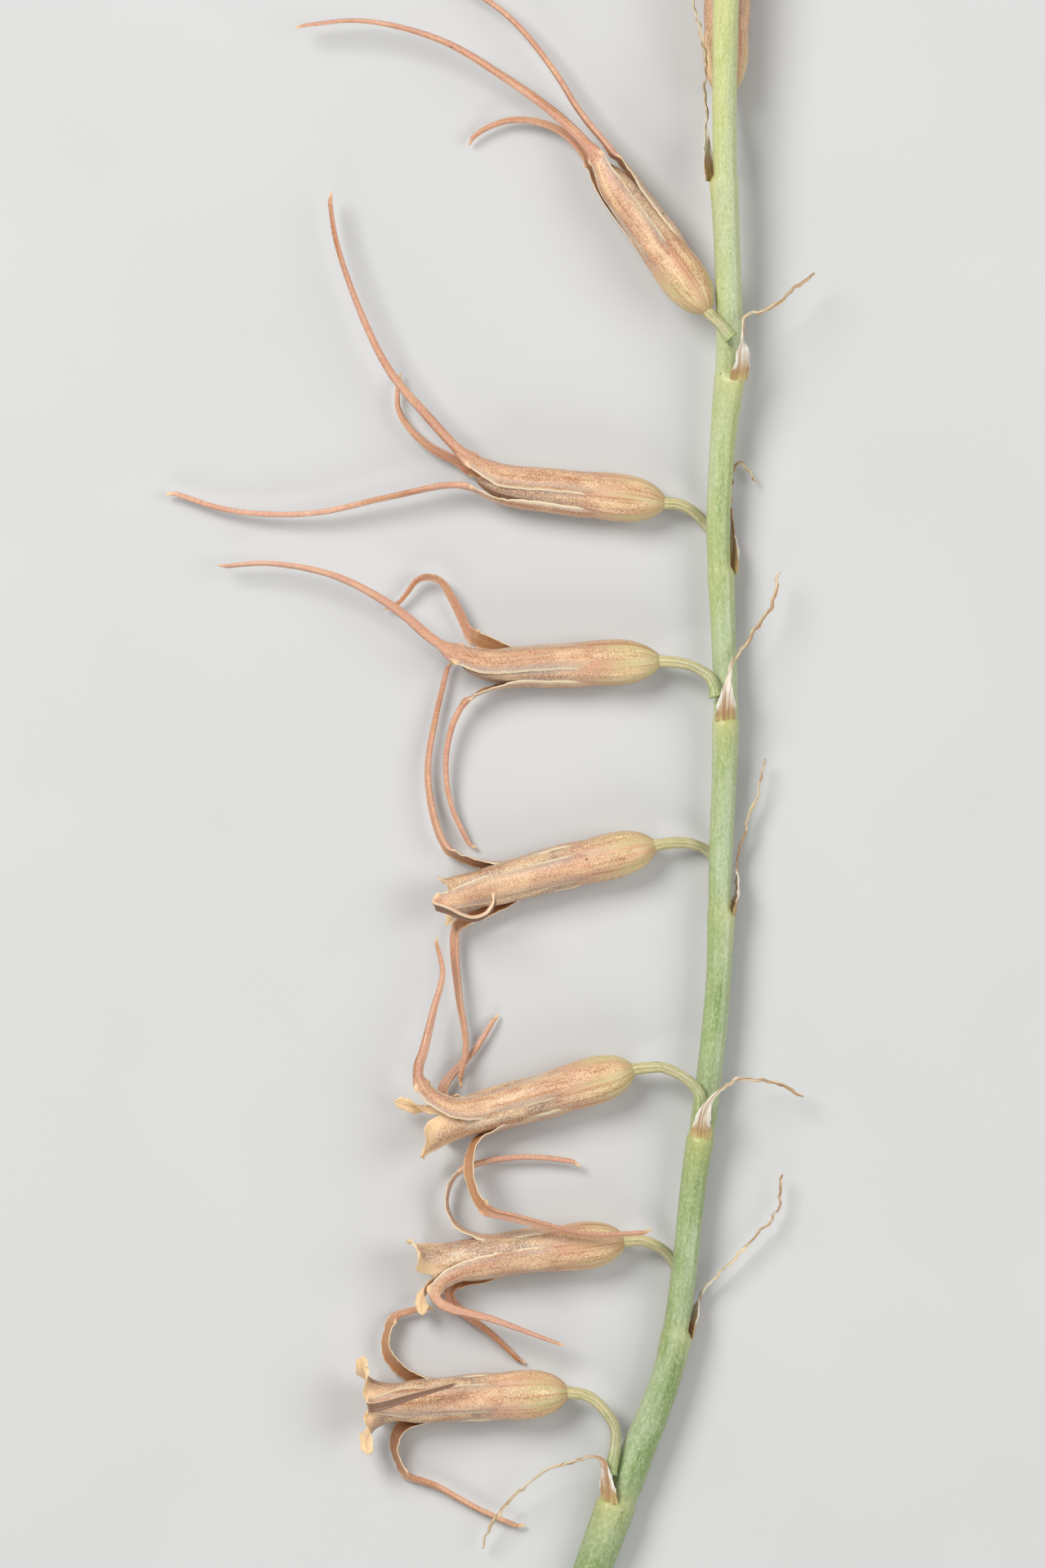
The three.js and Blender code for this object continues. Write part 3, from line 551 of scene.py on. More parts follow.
def petal_finish(name, colours, ramp_stops, vein, painted_glint_share, inner_colour):
    """Tepal skin: lengthwise veins, cells with painted glints, a painted highlight band along the middle,
    cream margins, a warmer inner face and painted shade.
    """
    finish = Finish(name, roughness=0.42, soft=0.2, coat=0.12)
    base = finish.ramp(finish.read("along"), *ramp_stops)
    warm = finish.noise((1.5, 0.14, 1.7), detail=1)
    colour = finish.blend(finish.curve(warm, (0.42, 0.0), (0.66, 0.7)), base, colours.salmon)
    colour = finish.blend(finish.read("panel"), colour, colours.mauve)
    colour = finish.blend(finish.read("side"), colour, colours.lilac)
    veins = finish.noise((4.2, 0.1, 1.0), detail=3, roughness=0.6)
    colour = finish.blend(finish.curve(veins, (0.52, 0.0), (0.62, vein)), colour, colours.vein)
    cells = finish.cells((11.5, 8.0, 1.0))
    rib = finish.curve(finish.read("rib"), (0.1, 0.2), (0.8, 1.0))
    # painted highlight: a lighter gold band along each tepal's middle, and painted glints on the cells
    painted_band_highlight = finish.noise((1.2, 0.35, 1.0), detail=2)
    painted_band_highlight = finish.math("MULTIPLY", finish.curve(painted_band_highlight, (0.45, 0.0), (0.65, 0.45)), rib)
    colour = finish.blend(painted_band_highlight, colour, colours.painted_highlight)
    painted_glints = finish.math("MULTIPLY", finish.curve(cells, (0.1, 1.0), (0.55, 0.0)), rib)
    colour = finish.blend(finish.math("MULTIPLY", painted_glints, painted_glint_share), colour, colours.painted_highlight)
    patches = finish.noise((3.0, 1.2, 1.0), detail=4, roughness=0.7)
    pits = finish.math("MULTIPLY", finish.curve(cells, (0.4, 0.0), (0.7, 0.5)), rib)
    pits = finish.math("MULTIPLY", pits, finish.curve(patches, (0.38, 0.2), (0.62, 1.0)))
    colour = finish.blend(pits, colour, colours.vein)
    inner = finish.math("MULTIPLY", finish.read("inside"), 0.85)
    colour = finish.blend(inner, colour, inner_colour)
    # painted shade where the skin reads dark: folded tails, the tube's hollow mouth and the inner tepals'
    # throat
    colour = finish.blend(finish.read("dark"), colour, colours.painted_shade_and_specks)
    margin = finish.curve(finish.read("margin"), (0.8, 0.0), (0.97, 0.9))
    colour = finish.blend(margin, colour, colours.cream)
    tip = finish.read("tip")
    colour = finish.blend(tip, colour, colours.tip)
    specks = finish.curve(finish.cells((0.55, 0.4, 1.0)), (0.035, 0.8), (0.05, 0.0))
    colour = finish.blend(specks, colour, colours.painted_shade_and_specks)
    normal = finish.relief(cells, 0.02)
    return finish.done(colour, finish.relief(veins, 0.035, normal))


def bract_finish(colours):
    """Dry papery skin, white at its edges, with brown veins that run together in the thread."""
    finish = Finish("papery bract", roughness=0.65, soft=0.1, sheen=0.2)
    base = finish.ramp(
        finish.read("along"),
        (0.0, colours.stem_node),
        (0.1, colours.bract_base),
        (0.32, colours.paper),
        (0.6, colours.straw),
    )
    veins = finish.noise((4.5, 0.2, 1.0), detail=3, roughness=0.6)
    colour = finish.blend(finish.curve(veins, (0.44, 0.0), (0.56, 0.9)), base, colours.bract_vein)
    edge = finish.curve(finish.read("margin"), (0.55, 0.0), (0.85, 0.9))
    colour = finish.blend(edge, colour, colours.paper)
    crumple = finish.noise((2.5, 1.6, 1.0), detail=4)
    normal = finish.relief(crumple, 0.06)
    return finish.done(colour, finish.relief(veins, 0.03, normal))


def floor_finish(colour):
    """A plain pale matt board."""
    finish = Finish("pale board", roughness=0.7)
    node = finish.nodes.new("ShaderNodeTexCoord")
    grain = finish.nodes.new("ShaderNodeTexNoise")
    grain.inputs["Scale"].default_value = 60.0
    finish.links.new(node.outputs["Object"], grain.inputs["Vector"])
    shade = finish.ramp(
        grain.outputs["Fac"], (0.3, tuple(c * 0.97 for c in colour)), (0.7, tuple(colour))
    )
    return finish.done(shade)


# ---- settings ----


def colour_setting(name, description, default):
    return FloatVectorProperty(
        name=name, description=description, subtype="COLOR", size=3, min=0, max=1, default=default
    )


class FlowerSpikeColours(bpy.types.PropertyGroup):
    """Colours of the spike, in linear light."""

    stem_low: colour_setting("Stem, low", "Stem near the cut", (0.25, 0.33, 0.14))
    stem_middle: colour_setting("Stem, middle", "Stem between flowers", (0.37, 0.45, 0.18))
    stem_top: colour_setting("Stem, top", "Stem under the buds", (0.60, 0.61, 0.25))
    # the stem's darker mottling, also used for the painted shade band along the stem's top
    stem_streak_and_shade: colour_setting("Stem streaks", "Darker mottling", (0.13, 0.22, 0.045))
    stem_bloom: colour_setting("Stem bloom", "Waxy bloom on the stem", (0.47, 0.53, 0.34))
    stem_pale: colour_setting("Stem specks", "Pale specks on the stem", (0.66, 0.70, 0.48))
    stem_node: colour_setting("Stem nodes", "Stem under a bract", (0.60, 0.54, 0.20))
    stem_pith: colour_setting("Stem pith", "Cut face of the stem", (0.62, 0.68, 0.40))
    pedicel: colour_setting("Pedicel", "Flower stalks", (0.47, 0.43, 0.25))
    foot: colour_setting("Flower foot", "Flower where its stalk ends", (0.58, 0.49, 0.24))
    tan: colour_setting("Tube", "Middle of a tube", (0.56, 0.34, 0.21))
    salmon: colour_setting("Salmon", "Warm bands on the tepals", (0.62, 0.30, 0.185))
    mauve: colour_setting("Mauve", "Inner tepals seen between the outer ones", (0.34, 0.245, 0.195))
    lilac: colour_setting("Lilac", "Smooth sides of the outer tepals", (0.43, 0.34, 0.28))
    vein: colour_setting("Veins", "Lengthwise veins", (0.40, 0.16, 0.06))
    # painted highlight: glints on the tepals' cells and a lighter band along each tepal's middle
    painted_highlight: colour_setting("Gold", "Glistening cells", (0.98, 0.72, 0.42))
    # painted shade on folded tails, inside the tube's hollow mouth and deep in the throat; also the colour
    # of the tepals' dark specks
    painted_shade_and_specks: colour_setting("Folded tails", "Tails that fold back", (0.15, 0.08, 0.045))
    cream: colour_setting("Cream", "Thin margins", (0.85, 0.68, 0.45))
    tail: colour_setting("Tails", "Tails of the outer tepals", (0.58, 0.31, 0.215))
    inner: colour_setting("Inner faces", "Inner faces of the tepals", (0.42, 0.19, 0.065))
    lip: colour_setting("Lips", "Inner tepals' free ends", (0.72, 0.45, 0.22))
    tip: colour_setting("Tips", "Frilled tips", (0.88, 0.60, 0.34))
    paper: colour_setting("Paper", "Edges of the bracts", (0.80, 0.74, 0.64))
    straw: colour_setting("Straw", "Threads of the bracts", (0.66, 0.55, 0.36))
    bract_base: colour_setting("Bract base", "Foot of a bract", (0.52, 0.34, 0.14))
    bract_vein: colour_setting("Bract veins", "Veins of a bract", (0.36, 0.19, 0.08))
    bud: colour_setting("Buds", "Young closed buds", (0.45, 0.42, 0.17))
    board: colour_setting("Board", "Surface under the spike", (0.56, 0.555, 0.54))


class FlowerSpikeSettings(bpy.types.PropertyGroup):
    """Sizes and amounts that shape the spike's fine surface and its stage."""

    rib_height: FloatProperty(
        name="Rib height", description="Height of the ribs on the tepals, in millimetres",
        default=0.045, min=0, max=0.2,
    )
    margin_wave: FloatProperty(
        name="Margin wave", description="How far free margins wave, in millimetres",
        default=0.07, min=0, max=0.4,
    )
    node_swelling: FloatProperty(
        name="Node swelling", description="Cushion under a bract, in millimetres",
        default=0.24, min=0, max=0.6,
    )
    around: IntProperty(
        name="Points around", description="Points round a tube", default=96, min=24, max=192
    )
    tail_rings: IntProperty(
        name="Tepal rings", description="Rings along an outer tepal", default=160, min=40, max=400
    )
    field_length: FloatProperty(
        name="Field length", description="Length of the spike that the camera takes in",
        default=0.1056, unit="LENGTH",
    )
    camera_height: FloatProperty(
        name="Camera height", description="Height of the camera over the board",
        default=0.9, unit="LENGTH",
    )
    light_power: FloatProperty(
        name="Key light", description="Power of the key light", default=4.0, unit="POWER"
    )


# ---- pieces ----


def flower_numbers():
    return sorted(int(n.split("_")[-1]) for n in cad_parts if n.startswith("perianth_tube_"))


def bud_numbers():
    return sorted(int(n.split("_")[-1]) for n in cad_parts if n.startswith("bud_"))


def stem_stalk():
    stack = ring_stack("stem", STEM_SIDES)
    foot = np.array([0.0, CAD_BOX[0][1], 0.0]) / MM
    return Stalk(started_near(stack, foot))


def pedicel_stack(number):
    """A pedicel's rings, from the stem to its flower or bud."""
    stack = ring_stack(f"pedicel_{number}", STRAP_SIDES)
    borne = f"perianth_tube_{number}" if number in flower_numbers() else f"bud_{number}"
    corners, _ = weld(borne)
    gaps = [np.linalg.norm(corners - end, axis=1).min() for end in (stack[0], stack[2])]
    return stack if gaps[0] > gaps[1] else started_near(stack, stack[2])


def flow_of(across_mm, along_mm, seed):
    """Skin coordinates: across and along in millimetres, and an offset for each piece."""
    across_mm, along_mm = np.broadcast_arrays(across_mm, along_mm)
    return np.stack([across_mm, along_mm, np.full(across_mm.shape, SEED_OFFSET * seed)], axis=-1)


def build_stem(settings, material):
    stalk = stem_stalk()
    count, around = STEM_MESH
    s = np.linspace(0, stalk.length, count)
    middle, way, across, over, radius = stalk.at(s)
    angle = np.linspace(-math.pi, math.pi, around, endpoint=False)
    ridges = 0.012 * np.sin(11 * angle)[None] * np.ones((count, 1))
    ridges += 0.01 * np.sin(7 * angle[None] + 0.05 * s[:, None])
    ridges += 0.012 * wobble(0.9 * s, 5)[:, None]
    swell = np.zeros((count, around))
    node = np.zeros((count, around))
    for number in flower_numbers() + bud_numbers():
        strap = Strap(f"bract_{number}")
        base = strap.middles[0]
        nearest = int(np.argmin(np.linalg.norm(middle - base, axis=1)))
        out = base - middle[nearest]
        clock = math.atan2(out @ across[nearest], out @ over[nearest])
        turn = np.abs((angle - clock + math.pi) % (2 * math.pi) - math.pi)
        below = s[nearest] - s
        step = step_up(-0.35, 0.35, below)
        cushion = step * np.exp(-np.abs(below) / 2.6) - 0.35 * (1 - step) * np.exp(-np.abs(below) / 2)
        share = radius[nearest] / 0.85
        swell += settings.node_swelling * share * cushion[:, None] * (0.25 + bell(turn, 0, 1.1))[None]
        tinge = np.where(below > 0, np.exp(-np.abs(below) / 1.6), bell(below, 0, 0.8))
        node += 0.6 * tinge[:, None] * (0.2 + 0.8 * bell(turn, 0, 1.2))[None]
    r = radius[:, None] * (1 + ridges) + swell
    top = 1 - step_up(stalk.length - 0.6, stalk.length, s)
    r = r * (0.25 + 0.75 * np.sqrt(np.clip(top, 0, 1)))[:, None]
    rings = (
        middle[:, None]
        + over[:, None] * (r * np.cos(angle))[..., None]
        + across[:, None] * (r * np.sin(angle))[..., None]
    )
    flow = flow_of(angle[None] * radius.mean(), s[:, None], 1)
    along = (s / stalk.length)[:, None]
    # the cut: rings that run in from the rim to the pith, a little hollowed
    face_shares = np.array([0.0, 0.3, 0.55, 0.75, 0.88, 0.96])
    hollow = 0.1 * (1 - face_shares**2)
    face = middle[0] + (rings[0] - middle[0])[None] * face_shares[1:, None, None]
    face += way[0] * hollow[1:, None, None]
    rings = np.concatenate([face, rings])
    cut = np.concatenate([np.ones(len(face)), np.zeros(count)])[:, None]
    face_flow = np.stack(
        [
            face_shares[1:, None] * radius[0] * np.cos(angle),
            face_shares[1:, None] * radius[0] * np.sin(angle),
            np.zeros((len(face), around)),
        ],
        axis=-1,
    )
    ones = np.ones((1, around))
    shell = loft(
        rings,
        middle[0] + way[0] * hollow[0],
        middle[-1] + 0.1 * way[-1],
        flow=np.concatenate([face_flow, flow]),
        along=np.concatenate([np.zeros((len(face), 1)), along]) * ones,
        node=np.concatenate([np.zeros((len(face), around)), np.clip(node, 0, 1)]),
        # a band along the top of the stem, which holds both the stem's own mottling and painted shade
        stripe=0.25 + 0.75 * bell(angle, 0.25, 0.75)[None] * np.ones((len(face) + count, 1)),
        cut=cut * ones,
    )
    return make_piece("stem_skin", [shell], material, "stem")


def build_pedicel(number, material):
    stalk = Stalk(pedicel_stack(number), reach=0.35)
    count, around = PEDICEL_MESH
    s = np.linspace(0, stalk.length, count)
    middle, way, across, over, radius = stalk.at(s)
    angle = np.linspace(0, 2 * math.pi, around, endpoint=False)
    flare = 1 + 0.35 * np.exp(-s / 0.35) + 0.1 * step_up(stalk.length - 0.8, stalk.length, s)
    r = radius[:, None] * flare[:, None] * (1 + 0.03 * np.sin(6 * angle)[None])
    r = r * (1 + 0.02 * wobble(2 * s, number)[:, None])
    rings = (
        middle[:, None]
        + over[:, None] * (r * np.cos(angle))[..., None]
        + across[:, None] * (r * np.sin(angle))[..., None]
    )
    shell = loft(
        rings,
        middle[0],
        middle[-1],
        flow=flow_of(angle[None] * radius.mean(), s[:, None], 20 + number),
        along=(s / stalk.length)[:, None] * np.ones((1, around)),
    )
    return make_piece(f"pedicel_skin_{number}", [shell], material, f"pedicel_{number}")


class Flower:
    """What a flower's solids say: its axis, its girth and where its outer tepals lie."""

    def __init__(self, number):
        self.number = number
        pedicel_end = pedicel_stack(number)[2]
        stack = started_near(ring_stack(f"perianth_tube_{number}", TUBE_SIDES), pedicel_end)
        self.foot, self.rings, last = stack
        self.open = len(self.rings) > 10
        middles = self.rings.mean(axis=1)
        self.axis = unit(middles[FUSED_RING + 3] - self.foot)
        end = middles[THROAT_RING] if self.open else last
        self.length = float((end - self.foot) @ self.axis)
        fused = self.rings[FUSED_RING] - middles[FUSED_RING]
        self.girth = float(np.linalg.norm(fused, axis=1).mean())
        self.tepals = sorted(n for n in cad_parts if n.startswith(f"outer_tepal_{number}_"))
        front = [n for n in self.tepals if n.endswith("front")]
        strap = Strap((front or self.tepals)[0])
        self.out = square_to(strap.outward[0], self.axis)
        self.side = np.cross(self.axis, self.out)

    def radial(self, angle):
        """Direction out of the axis, at angles from the first outer tepal."""
        angle = np.asarray(angle)[..., None]
        return np.cos(angle) * self.out + np.sin(angle) * self.side

    def skin_radius(self, t):
        """Radius of the tube's skin at shares of its length, under the outer tepals."""
        return self.girth * profile(OPEN_PROFILE if self.open else CLOSED_PROFILE, t)


def tube_relief(angle, t):
    """Lengthwise ribs of a tube: one under each outer tepal, one on each inner one."""
    ribs = 0.012 * np.cos(6 * angle)
    veins = 0.008 * np.cos(18 * angle) * step_up(0.04, 0.2, t)
    flats = 0.012 * np.cos(3 * angle) * step_up(0.3, 0.5, t)
    return ribs + veins - flats


def tube_shell(flower, settings):
    """The fused tube, which is hollow at its mouth on an open flower."""
    around = settings.around
    angle = np.linspace(-math.pi, math.pi, around, endpoint=False)
    end = 0.94 if flower.open else 1.0
    t = np.concatenate([np.linspace(0, 0.1, 22, endpoint=False), np.linspace(0.1, end, 120)])
    smooth = np.convolve(
        np.pad(flower.skin_radius(t), 3, mode="edge"), [1 / 7] * 7, mode="valid"
    )
    smooth[:4] = flower.skin_radius(t[:4])
    smooth[-2:] = flower.skin_radius(t[-2:])
    tt = t[:, None]
    r = smooth[:, None] * (1 + tube_relief(angle[None], tt))
    r = r * (1 + 0.012 * wobble(6 * tt + 0 * angle, 40 + flower.number))
    along = tt * flower.length
    rings = flower.foot + along[..., None] * flower.axis + r[..., None] * flower.radial(angle)[None]
    inside = np.zeros((len(t), around))
    if flower.open:
        depth = np.array([0.94, 0.9, 0.8, 0.7, 0.6, 0.52])
        inner = flower.skin_radius(depth) - np.array([0.12, 0.24, 0.26, 0.28, 0.34, 0.6])
        inner_rings = (
            flower.foot
            + (depth * flower.length)[:, None, None] * flower.axis
            + inner[:, None, None] * flower.radial(angle)[None]
        )
        rings = np.concatenate([rings, inner_rings])
        inside = np.concatenate([inside, np.ones((len(depth), around))])
        tt = np.concatenate([tt, depth[:, None]])
        last = flower.foot + 0.5 * flower.length * flower.axis
    else:
        last = flower.foot + 1.003 * flower.length * flower.axis
    ones = np.ones((1, around))
    rib = (0.55 + 0.45 * np.cos(6 * angle)[None]) * step_up(0.02, 0.12, tt)
    panel = step_up(-0.35, 0.3, -np.cos(3 * angle)[None]) * step_up(0.3, 0.62, tt)
    return loft(
        rings,
        flower.foot - 0.1 * flower.axis,
        last,
        flow=flow_of(angle[None] * flower.girth, tt * flower.length, 40 + flower.number),
        along=0.62 * tt * ones,
        rib=rib,
        panel=0.95 * panel,
        side=np.zeros((len(tt), around)),
        margin=np.zeros((len(tt), around)),
        inside=inside,
        # painted shade inside the hollow mouth of the tube
        dark=0.6 * inside,
        tip=np.zeros((len(tt), around)),
    )


# an inner tepal's free end: share of its length, width across as a share of a third of the tube
LIP_FORMS = {
    "necked": [(0, 1), (0.3, 1.08), (0.52, 1.0), (0.66, 0.62), (0.76, 0.22), (0.9, 0.44), (1, 0.2)],
    "spoon": [(0, 1), (0.3, 1.1), (0.55, 1.14), (0.72, 0.95), (0.84, 0.46), (0.93, 0.4), (1, 0.2)],
    "folded": [(0, 0.8), (0.3, 0.72), (0.6, 0.6), (0.8, 0.3), (0.9, 0.44), (1, 0.2)],
}
# The three inner tepals of each open flower, in turn round the tube: form, crosswise curvature,
# how far they are straightened from the frame's curl, how much longer they are than it says, and
# how far they twist, in radians.
LIPS = {
    1: (
        ("necked", 0.8, 0.15, 1.2, -0.9),
        ("spoon", 0.7, 0, 1, 0),
        ("necked", 0.85, 0.15, 1.2, 0.9),
    ),
    2: (
        ("spoon", 0.9, 0.3, 1.1, -0.4),
        ("spoon", 0.7, 0, 1, 0),
        ("folded", 1.0, 0.1, 1.1, 0.9),
    ),
    3: (
        ("folded", 1.2, 0, 1.1, -1.1),
        ("spoon", 0.7, 0, 1, 0),
        ("spoon", 0.75, 0.45, 1.12, 0.35),
    ),
    4: (
        ("spoon", 0.95, 0, 1.1, -0.5),
        ("spoon", 0.8, 0, 1, 0),
        ("spoon", 0.95, 0.3, 1.15, 0.5),
    ),
}


def lip_lines(flower):
    """For each inner tepal: its angle, and the middle line of its free end's back and face."""
    steps = TUBE_SIDES // 3
    outer = flower.rings[THROAT_RING : THROAT_RING + LIP_RINGS]
    inner = flower.rings[THROAT_RING + LIP_RINGS : THROAT_RING + 2 * LIP_RINGS][::-1]
    forward = [np.linalg.norm(outer[-1, k::steps] - outer[0, k::steps], axis=1).sum() for k in range(steps)]
    first = int(np.argmax(forward))
    lines = []
    for corner in range(first, TUBE_SIDES, steps):
        arm = outer[0, corner] - outer[0].mean(axis=0)
        angle = math.atan2(arm @ flower.side, arm @ flower.out)
        lines.append((angle % (2 * math.pi), outer[:, corner], inner[:, corner]))
    return sorted(lines, key=lambda line: line[0])


def inner_tepal_shell(flower, line, lip, settings, seed):
    """One inner tepal of an open flower, from inside the tube's skin to its recurved tip."""
    angle, back, face = line
    form, curl, straightened, stretch, twist = lip
    radial = flower.radial(angle)
    normals = unit(back - face)
    share = (lengths_along(back) / lengths_along(back)[-1])[:, None]
    reach = lengths_along(back)[-1]
    straight = back[0] + share * reach * unit(flower.axis + 0.25 * radial)
    back = back[0] + stretch * (back + straightened * share * (straight - back) - back[0])
    normals = unit(normals + straightened * share * radial)
    on_tube = [0.5, 0.62, 0.74, 0.86]
    lift = [-0.14, 0.02, 0.05, 0.06]
    points = [
        flower.foot + t * flower.length * flower.axis + (flower.skin_radius(t) + rise) * radial
        for t, rise in zip(on_tube, lift)
    ]
    outward = [radial] * len(points)
    points += list(back)
    outward += list(normals)
    points = np.array(points)
    outward = np.array(outward)
    knots = lengths_along(points)
    throat = knots[len(on_tube)]
    free = knots[-1] - throat
    count, points_across = LIP_MESH
    s = np.linspace(0, knots[-1], count)
    middle = smooth_through(knots, points, s)
    way = unit(smooth_through(knots, points, s + 0.03) - smooth_through(knots, points, s - 0.03))
    out = square_to(smooth_through(knots, outward, s), way)
    lateral = np.cross(way, out)
    v = (s - throat) / free
    whole = 2 * math.pi / 3 * 0.86 * flower.girth
    width = whole * profile(LIP_FORMS[form], v)
    width = np.convolve(np.pad(width, 4, mode="edge"), [1 / 9] * 9, mode="valid")
    width = width * np.sqrt(np.clip(1.02 - step_up(0.9, 1.0, v), 0, 1))
    tube_bend = 1 / (0.86 * flower.girth)
    bend = tube_bend + (curl - tube_bend) * step_up(0.0, 0.5, v)
    bend = bend * (1 - 0.55 * step_up(0.62, 0.95, v))
    across, inside = flat_section(points_across)
    u = across[None]
    frill = settings.margin_wave * step_up(0.35, 0.9, v)[:, None] * np.abs(u) ** 2
    ragged = 0.2 * wobble(9 * s, seed)[:, None] * step_up(0.6, 0.85, v)[:, None]
    width_here = width[:, None] * (1 + ragged)
    x, z = arc_place(u, width_here, bend[:, None])
    across_mm = x
    z = z + 1.8 * frill * wobble(5 * s[:, None] + 3 * np.sign(u), seed + 1)
    z = z + 0.10 * step_up(0.1, 0.5, v)[:, None] * step_up(0.72, 1.0, np.abs(u))
    thick = 0.15 - 0.07 * step_up(0.2, 0.9, v)[:, None]
    thin_edge = 0.22 + 0.78 * np.sqrt(np.clip(1 - np.abs(u) ** 2.4, 0, 1))
    keel = 0.05 * bell(u, 0, 0.22) * (1 - step_up(0.5, 1, v))[:, None]
    half = thick * thin_edge / 2
    z = z + np.where(inside[None] > 0, -half, half + keel)
    turn = twist * step_up(0.4, 0.85, v)[:, None]
    x, z = x * np.cos(turn) - z * np.sin(turn), x * np.sin(turn) + z * np.cos(turn)
    rings = middle[:, None] + lateral[:, None] * x[..., None] + out[:, None] * z[..., None]
    wing = np.abs(u) / np.clip(1 - 0.95 * v[:, None], 0.06, 1)
    lip = step_up(0.45, 0.95, wing) * step_up(-0.35, 0.25, v)[:, None]
    shape = (len(s), len(across))
    face_share = np.broadcast_to(inside[None], shape) * step_up(-0.6, 0.0, v)[:, None]
    rim = 0.2 + 0.8 * np.abs(u) ** 3
    return loft(
        rings,
        middle[0],
        middle[-1],
        flow=flow_of(across_mm, s[:, None], seed),
        along=np.broadcast_to(0.30 + 0.32 * s[:, None] / knots[-1], shape),
        rib=np.broadcast_to(0.3 + 0.7 * bell(u, 0, 0.6), shape),
        panel=0.85 * bell(u / np.clip(1.1 - v[:, None], 0.1, 1.4), 0, 0.75) * (1 - face_share),
        side=np.zeros(shape),
        margin=np.abs(u) * step_up(-0.2, 0.2, v)[:, None] * 0.97,
        inside=face_share,
        # painted shade on the inner face where it is still deep in the throat
        dark=0.75 * face_share * (1 - step_up(-0.3, 0.35, v))[:, None],
        tip=np.clip(0.85 * lip + step_up(0.55, 0.95, v)[:, None] * rim, 0, 0.92),
    )


def build_perianth(number, settings, material):
    flower = Flower(number)
    shells = [tube_shell(flower, settings)]
    if flower.open:
        for i, (line, lip) in enumerate(zip(lip_lines(flower), LIPS[number])):
            shells.append(inner_tepal_shell(flower, line, lip, settings, 60 + 3 * number + i))
    name = f"perianth_{number}"
    return make_piece(name, shells, material, f"perianth_tube_{number}")


# tails that fold back over their own tube, with painted shade on their inner face
FOLDED_TAILS = ("outer_tepal_1_front", "outer_tepal_4_front")


def outer_tepal_shell(node, settings, seed):
    """An outer tepal: a ribbed blade that rises out of the tube's skin, a knee and a long tail."""
    lead = 1.6
    strap = Strap(node, lead)
    blade_width = strap.widths[0]
    parts = strap.last_wider_than(0.97 * blade_width)
    knee = strap.last_wider_than(0.8)
    s = np.linspace(-lead, strap.length, settings.tail_rings)
    middle, lateral, outward, width, bend = strap.at(s)
    across, inside = flat_section(TEPAL_ACROSS)
    u = across[None]
    free = step_up(parts, parts + 1.5, s)[:, None]
    tail = step_up(knee - 0.5, knee + 0.5, s)[:, None]
    end = step_up(strap.length - 0.9, strap.length, s)[:, None]
    sunk = -0.24 * (1 - step_up(-1.2, 2.0, s))[:, None]
    run = np.clip((s - knee) / (strap.length - knee), 0, 1)[:, None]
    width = width[:, None] * (1 + 0.03 * wobble(3 * s, seed)[:, None])
    width = width * (1.12 - 0.12 * free) * (1 + tail * (0.32 - 0.6 * run)) * (1 - 0.45 * end**3)
    # the thin margins stop short at the knee, in a small flap
    width = width + 0.3 * bell(s, knee - 0.12, 0.15)[:, None]
    x, z = arc_place(u, width, (bend[:, None]) * (1 - 0.3 * free * (1 - tail)))
    blade_ribs = sum(bell(u, place, 0.1) for place in (-0.62, -0.3, 0.0, 0.3, 0.62))
    tail_ribs = bell(u, -0.62, 0.24) + bell(u, 0.62, 0.24) + 0.7 * bell(u, 0, 0.2)
    rise = settings.rib_height * (blade_ribs * (1 - tail) * 0.6 + tail_ribs * tail * 0.9)
    thick = 0.2 - 0.06 * free * (1 - tail) + 0.1 * tail - 0.12 * end
    edge = 0.16 + 0.84 * np.sqrt(np.clip(1 - np.abs(u) ** 2.6, 0, 1))
    edge = edge + (1 - edge) * 0.45 * tail
    half = thick * edge / 2
    z = z + (0.1 - 0.12 * step_up(1.0, parts, s))[:, None] * (1 - tail) + sunk
    z = z + np.where(inside[None] > 0, -half - 0.35 * rise * tail, half + rise)
    wave = settings.margin_wave * free * (1 - tail) * np.abs(u) ** 3
    z = z + wave * wobble(2.6 * s[:, None] + 2 * np.sign(u), seed + 2)
    z = z + 0.16 * bell(s, knee - 0.1, 0.2)[:, None] * np.abs(u) ** 2
    hook = 0.22 * step_up(strap.length - 0.7, strap.length, s)[:, None] ** 2
    z = z + hook
    rings = middle[:, None] + lateral[:, None] * x[..., None] + outward[:, None] * z[..., None]
    shape = (len(s), len(across))
    share = np.interp(s, [-lead, parts, knee, strap.length], [0.2, 0.5, 0.68, 1.0])[:, None]
    flap = bell(s, knee - 0.05, 0.16)[:, None] * step_up(0.45, 0.9, np.abs(u))
    point = step_up(strap.length - 0.45, strap.length - 0.05, s)[:, None] * 0.8
    rib = (0.3 + 0.7 * bell(u, 0, 0.55)) * (1 - tail) + 0.25 * tail
    emerged = step_up(0.2, 1.8, s)[:, None]
    # painted shade: the inner face of a tail that folds back over its tube is darkened
    folded = 0.85 * inside[None] * tail if node in FOLDED_TAILS else 0 * tail
    cream = 1 - (0.08 if node in FOLDED_TAILS else 0.5) * tail
    return loft(
        rings,
        middle[0] + outward[0] * sunk[0],
        middle[-1] + outward[-1] * hook[-1] + 0.06 * unit(middle[-1] - middle[-2]),
        flow=flow_of(x, s[:, None], seed),
        along=np.broadcast_to(share, shape),
        rib=np.broadcast_to(rib, shape),
        panel=np.zeros(shape),
        side=0.85 * step_up(0.35, 0.8, np.abs(u)) * emerged * (1 - tail) * (1 - inside[None]),
        margin=np.abs(u) * (0.7 + 0.3 * emerged) * cream,
        inside=np.broadcast_to(inside[None], shape) * (0.9 - 0.6 * tail),
        dark=np.broadcast_to(folded, shape),
        tip=np.clip(flap + point * np.ones(shape), 0, 0.9),
    )


